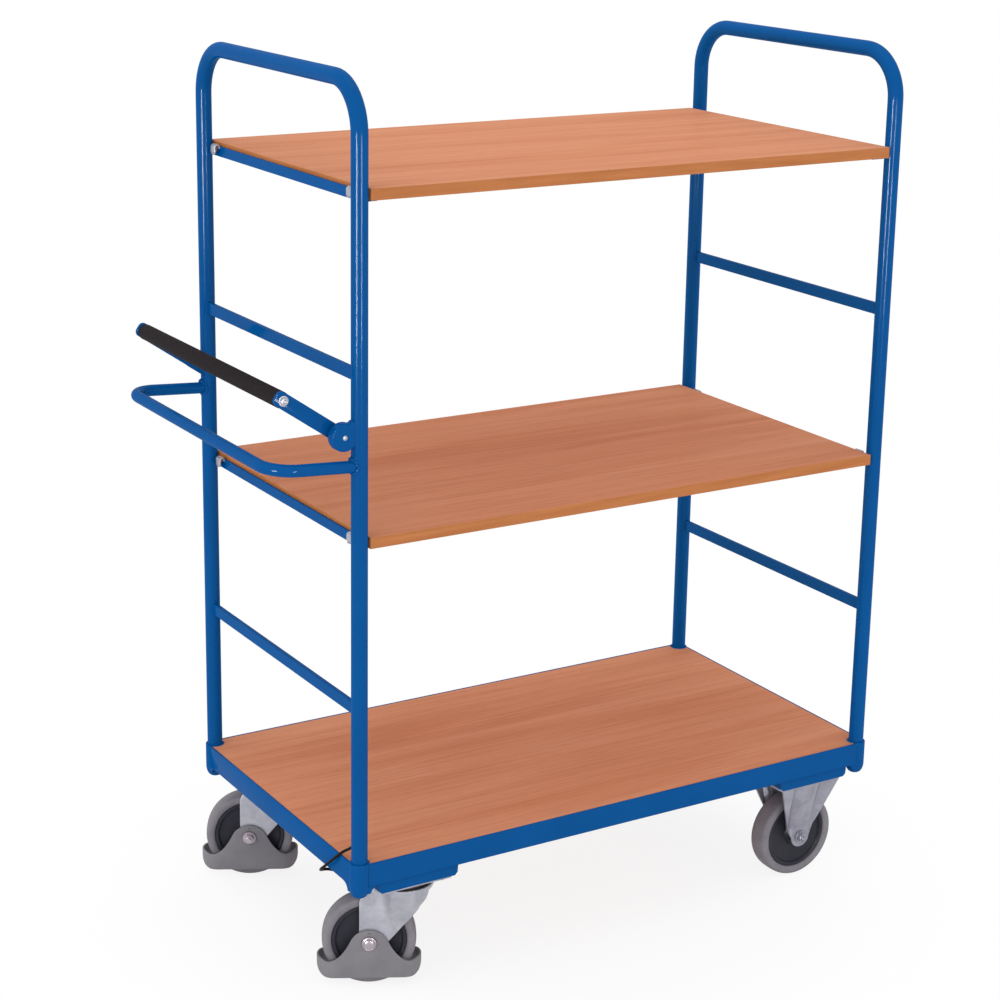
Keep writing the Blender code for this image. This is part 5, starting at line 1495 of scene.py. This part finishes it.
def rays_that_see(tree):
    """One for the camera's rays and for those that metal and clear things throw on, nought for the rest."""
    path = tree.nodes.new("ShaderNodeLightPath")
    found = path.outputs["Is Camera Ray"]
    for name in ("Is Glossy Ray", "Is Transmission Ray"):
        either = tree.nodes.new("ShaderNodeMath")
        either.operation = "MAXIMUM"
        tree.links.new(found, either.inputs[0])
        tree.links.new(path.outputs[name], either.inputs[1])
        found = either.outputs["Value"]
    return found


start_clean()
bpy.ops.mesh.primitive_plane_add(size=40, location=(0, 0, -0.0005))
floor = bpy.context.object
floor.name = "floor"
floor_finish = bpy.data.materials.new("pale floor")
floor_finish.use_nodes = True
tree = floor_finish.node_tree
tree.nodes.clear()
output = tree.nodes.new("ShaderNodeOutputMaterial")
diffuse = tree.nodes.new("ShaderNodeBsdfDiffuse")
diffuse.inputs["Color"].default_value = (0.93, 0.93, 0.93, 1)
white = tree.nodes.new("ShaderNodeEmission")
place = tree.nodes.new("ShaderNodeTexCoord")
distance = tree.nodes.new("ShaderNodeVectorMath")
distance.operation = "LENGTH"
fade = tree.nodes.new("ShaderNodeMapRange")
fade.interpolation_type = "SMOOTHSTEP"
fade.inputs["From Min"].default_value = shadow_radius
fade.inputs["From Max"].default_value = white_radius
fade.inputs["To Min"].default_value = white_at_shadow
tree.links.new(place.outputs["Object"], distance.inputs[0])
tree.links.new(distance.outputs["Value"], fade.inputs["Value"])
seen = tree.nodes.new("ShaderNodeMath")
seen.operation = "MULTIPLY"
tree.links.new(fade.outputs["Result"], seen.inputs[0])
tree.links.new(rays_that_see(tree), seen.inputs[1])
ground = tree.nodes.new("ShaderNodeMixShader")
tree.links.new(seen.outputs["Value"], ground.inputs[0])
tree.links.new(diffuse.outputs["BSDF"], ground.inputs[1])
tree.links.new(white.outputs["Emission"], ground.inputs[2])
tree.links.new(ground.outputs["Shader"], output.inputs["Surface"])
floor.data.materials.append(floor_finish)
print("the floor is white from", white_radius, "m out")

# %% [markdown]
# The light that falls on the trolley comes from the room itself, a little stronger from the left and the
# front than from the right.

# %% Light the room
light_from = (-0.90, -0.22, 0.30)
weakest, strongest = 0.74, 1.42
world = bpy.data.worlds.new("white room")
bpy.context.scene.world = world
world.use_nodes = True
sky = world.node_tree.nodes["Background"]
sky.inputs["Color"].default_value = (1, 1, 1, 1)
tree = world.node_tree
direction = tree.nodes.new("ShaderNodeTexCoord")
towards = tree.nodes.new("ShaderNodeVectorMath")
towards.operation = "DOT_PRODUCT"
towards.inputs[1].default_value = light_from
window = tree.nodes.new("ShaderNodeMapRange")
window.inputs["From Min"].default_value = -1.0
window.inputs["From Max"].default_value = 1.0
window.inputs["To Min"].default_value = weakest
window.inputs["To Max"].default_value = strongest
strength = tree.nodes.new("ShaderNodeMix")
strength.inputs["B"].default_value = 1.0
tree.links.new(direction.outputs["Generated"], towards.inputs[0])
tree.links.new(towards.outputs["Value"], window.inputs["Value"])
tree.links.new(rays_that_see(tree), strength.inputs["Factor"])
tree.links.new(window.outputs["Result"], strength.inputs["A"])
tree.links.new(strength.outputs["Result"], sky.inputs["Strength"])
print("the room shines", weakest, "to", strongest)

# %% [markdown]
# One wide, weak lamp above gives the boards their even light. Two more light nothing but the gloss: they
# draw the narrow bright lines down the tubes.

# %% Hang the lamps
tube_middle = (-0.4, -0.2, 0.87)


def soft_box(name, place, target, width, height, power):
    """An even rectangular lamp at a place, aimed at another."""
    lamp = bpy.data.lights.new(name, "AREA")
    lamp.shape = "RECTANGLE"
    lamp.size = width
    lamp.size_y = height
    lamp.energy = power
    box = bpy.data.objects.new(name, lamp)
    bpy.context.scene.collection.objects.link(box)
    box.location = place
    box.rotation_euler = (Vector(target) - Vector(place)).to_track_quat("-Z", "Y").to_euler()
    print(name, width, "by", height, "m,", power, "W")
    return box


for strip in (
    soft_box("left strip", (-3.10, -1.60, 0.87), tube_middle, width=0.80, height=0.70, power=150),
    soft_box("front strip", (-0.40, -3.30, 0.87), tube_middle, width=0.45, height=0.70, power=70),
):
    strip.visible_diffuse = False
soft_box("overhead", (0.0, 0.0, 3.6), (0, 0, 0), width=1.8, height=1.2, power=4)
bpy.context.scene.view_settings.view_transform = "Standard"
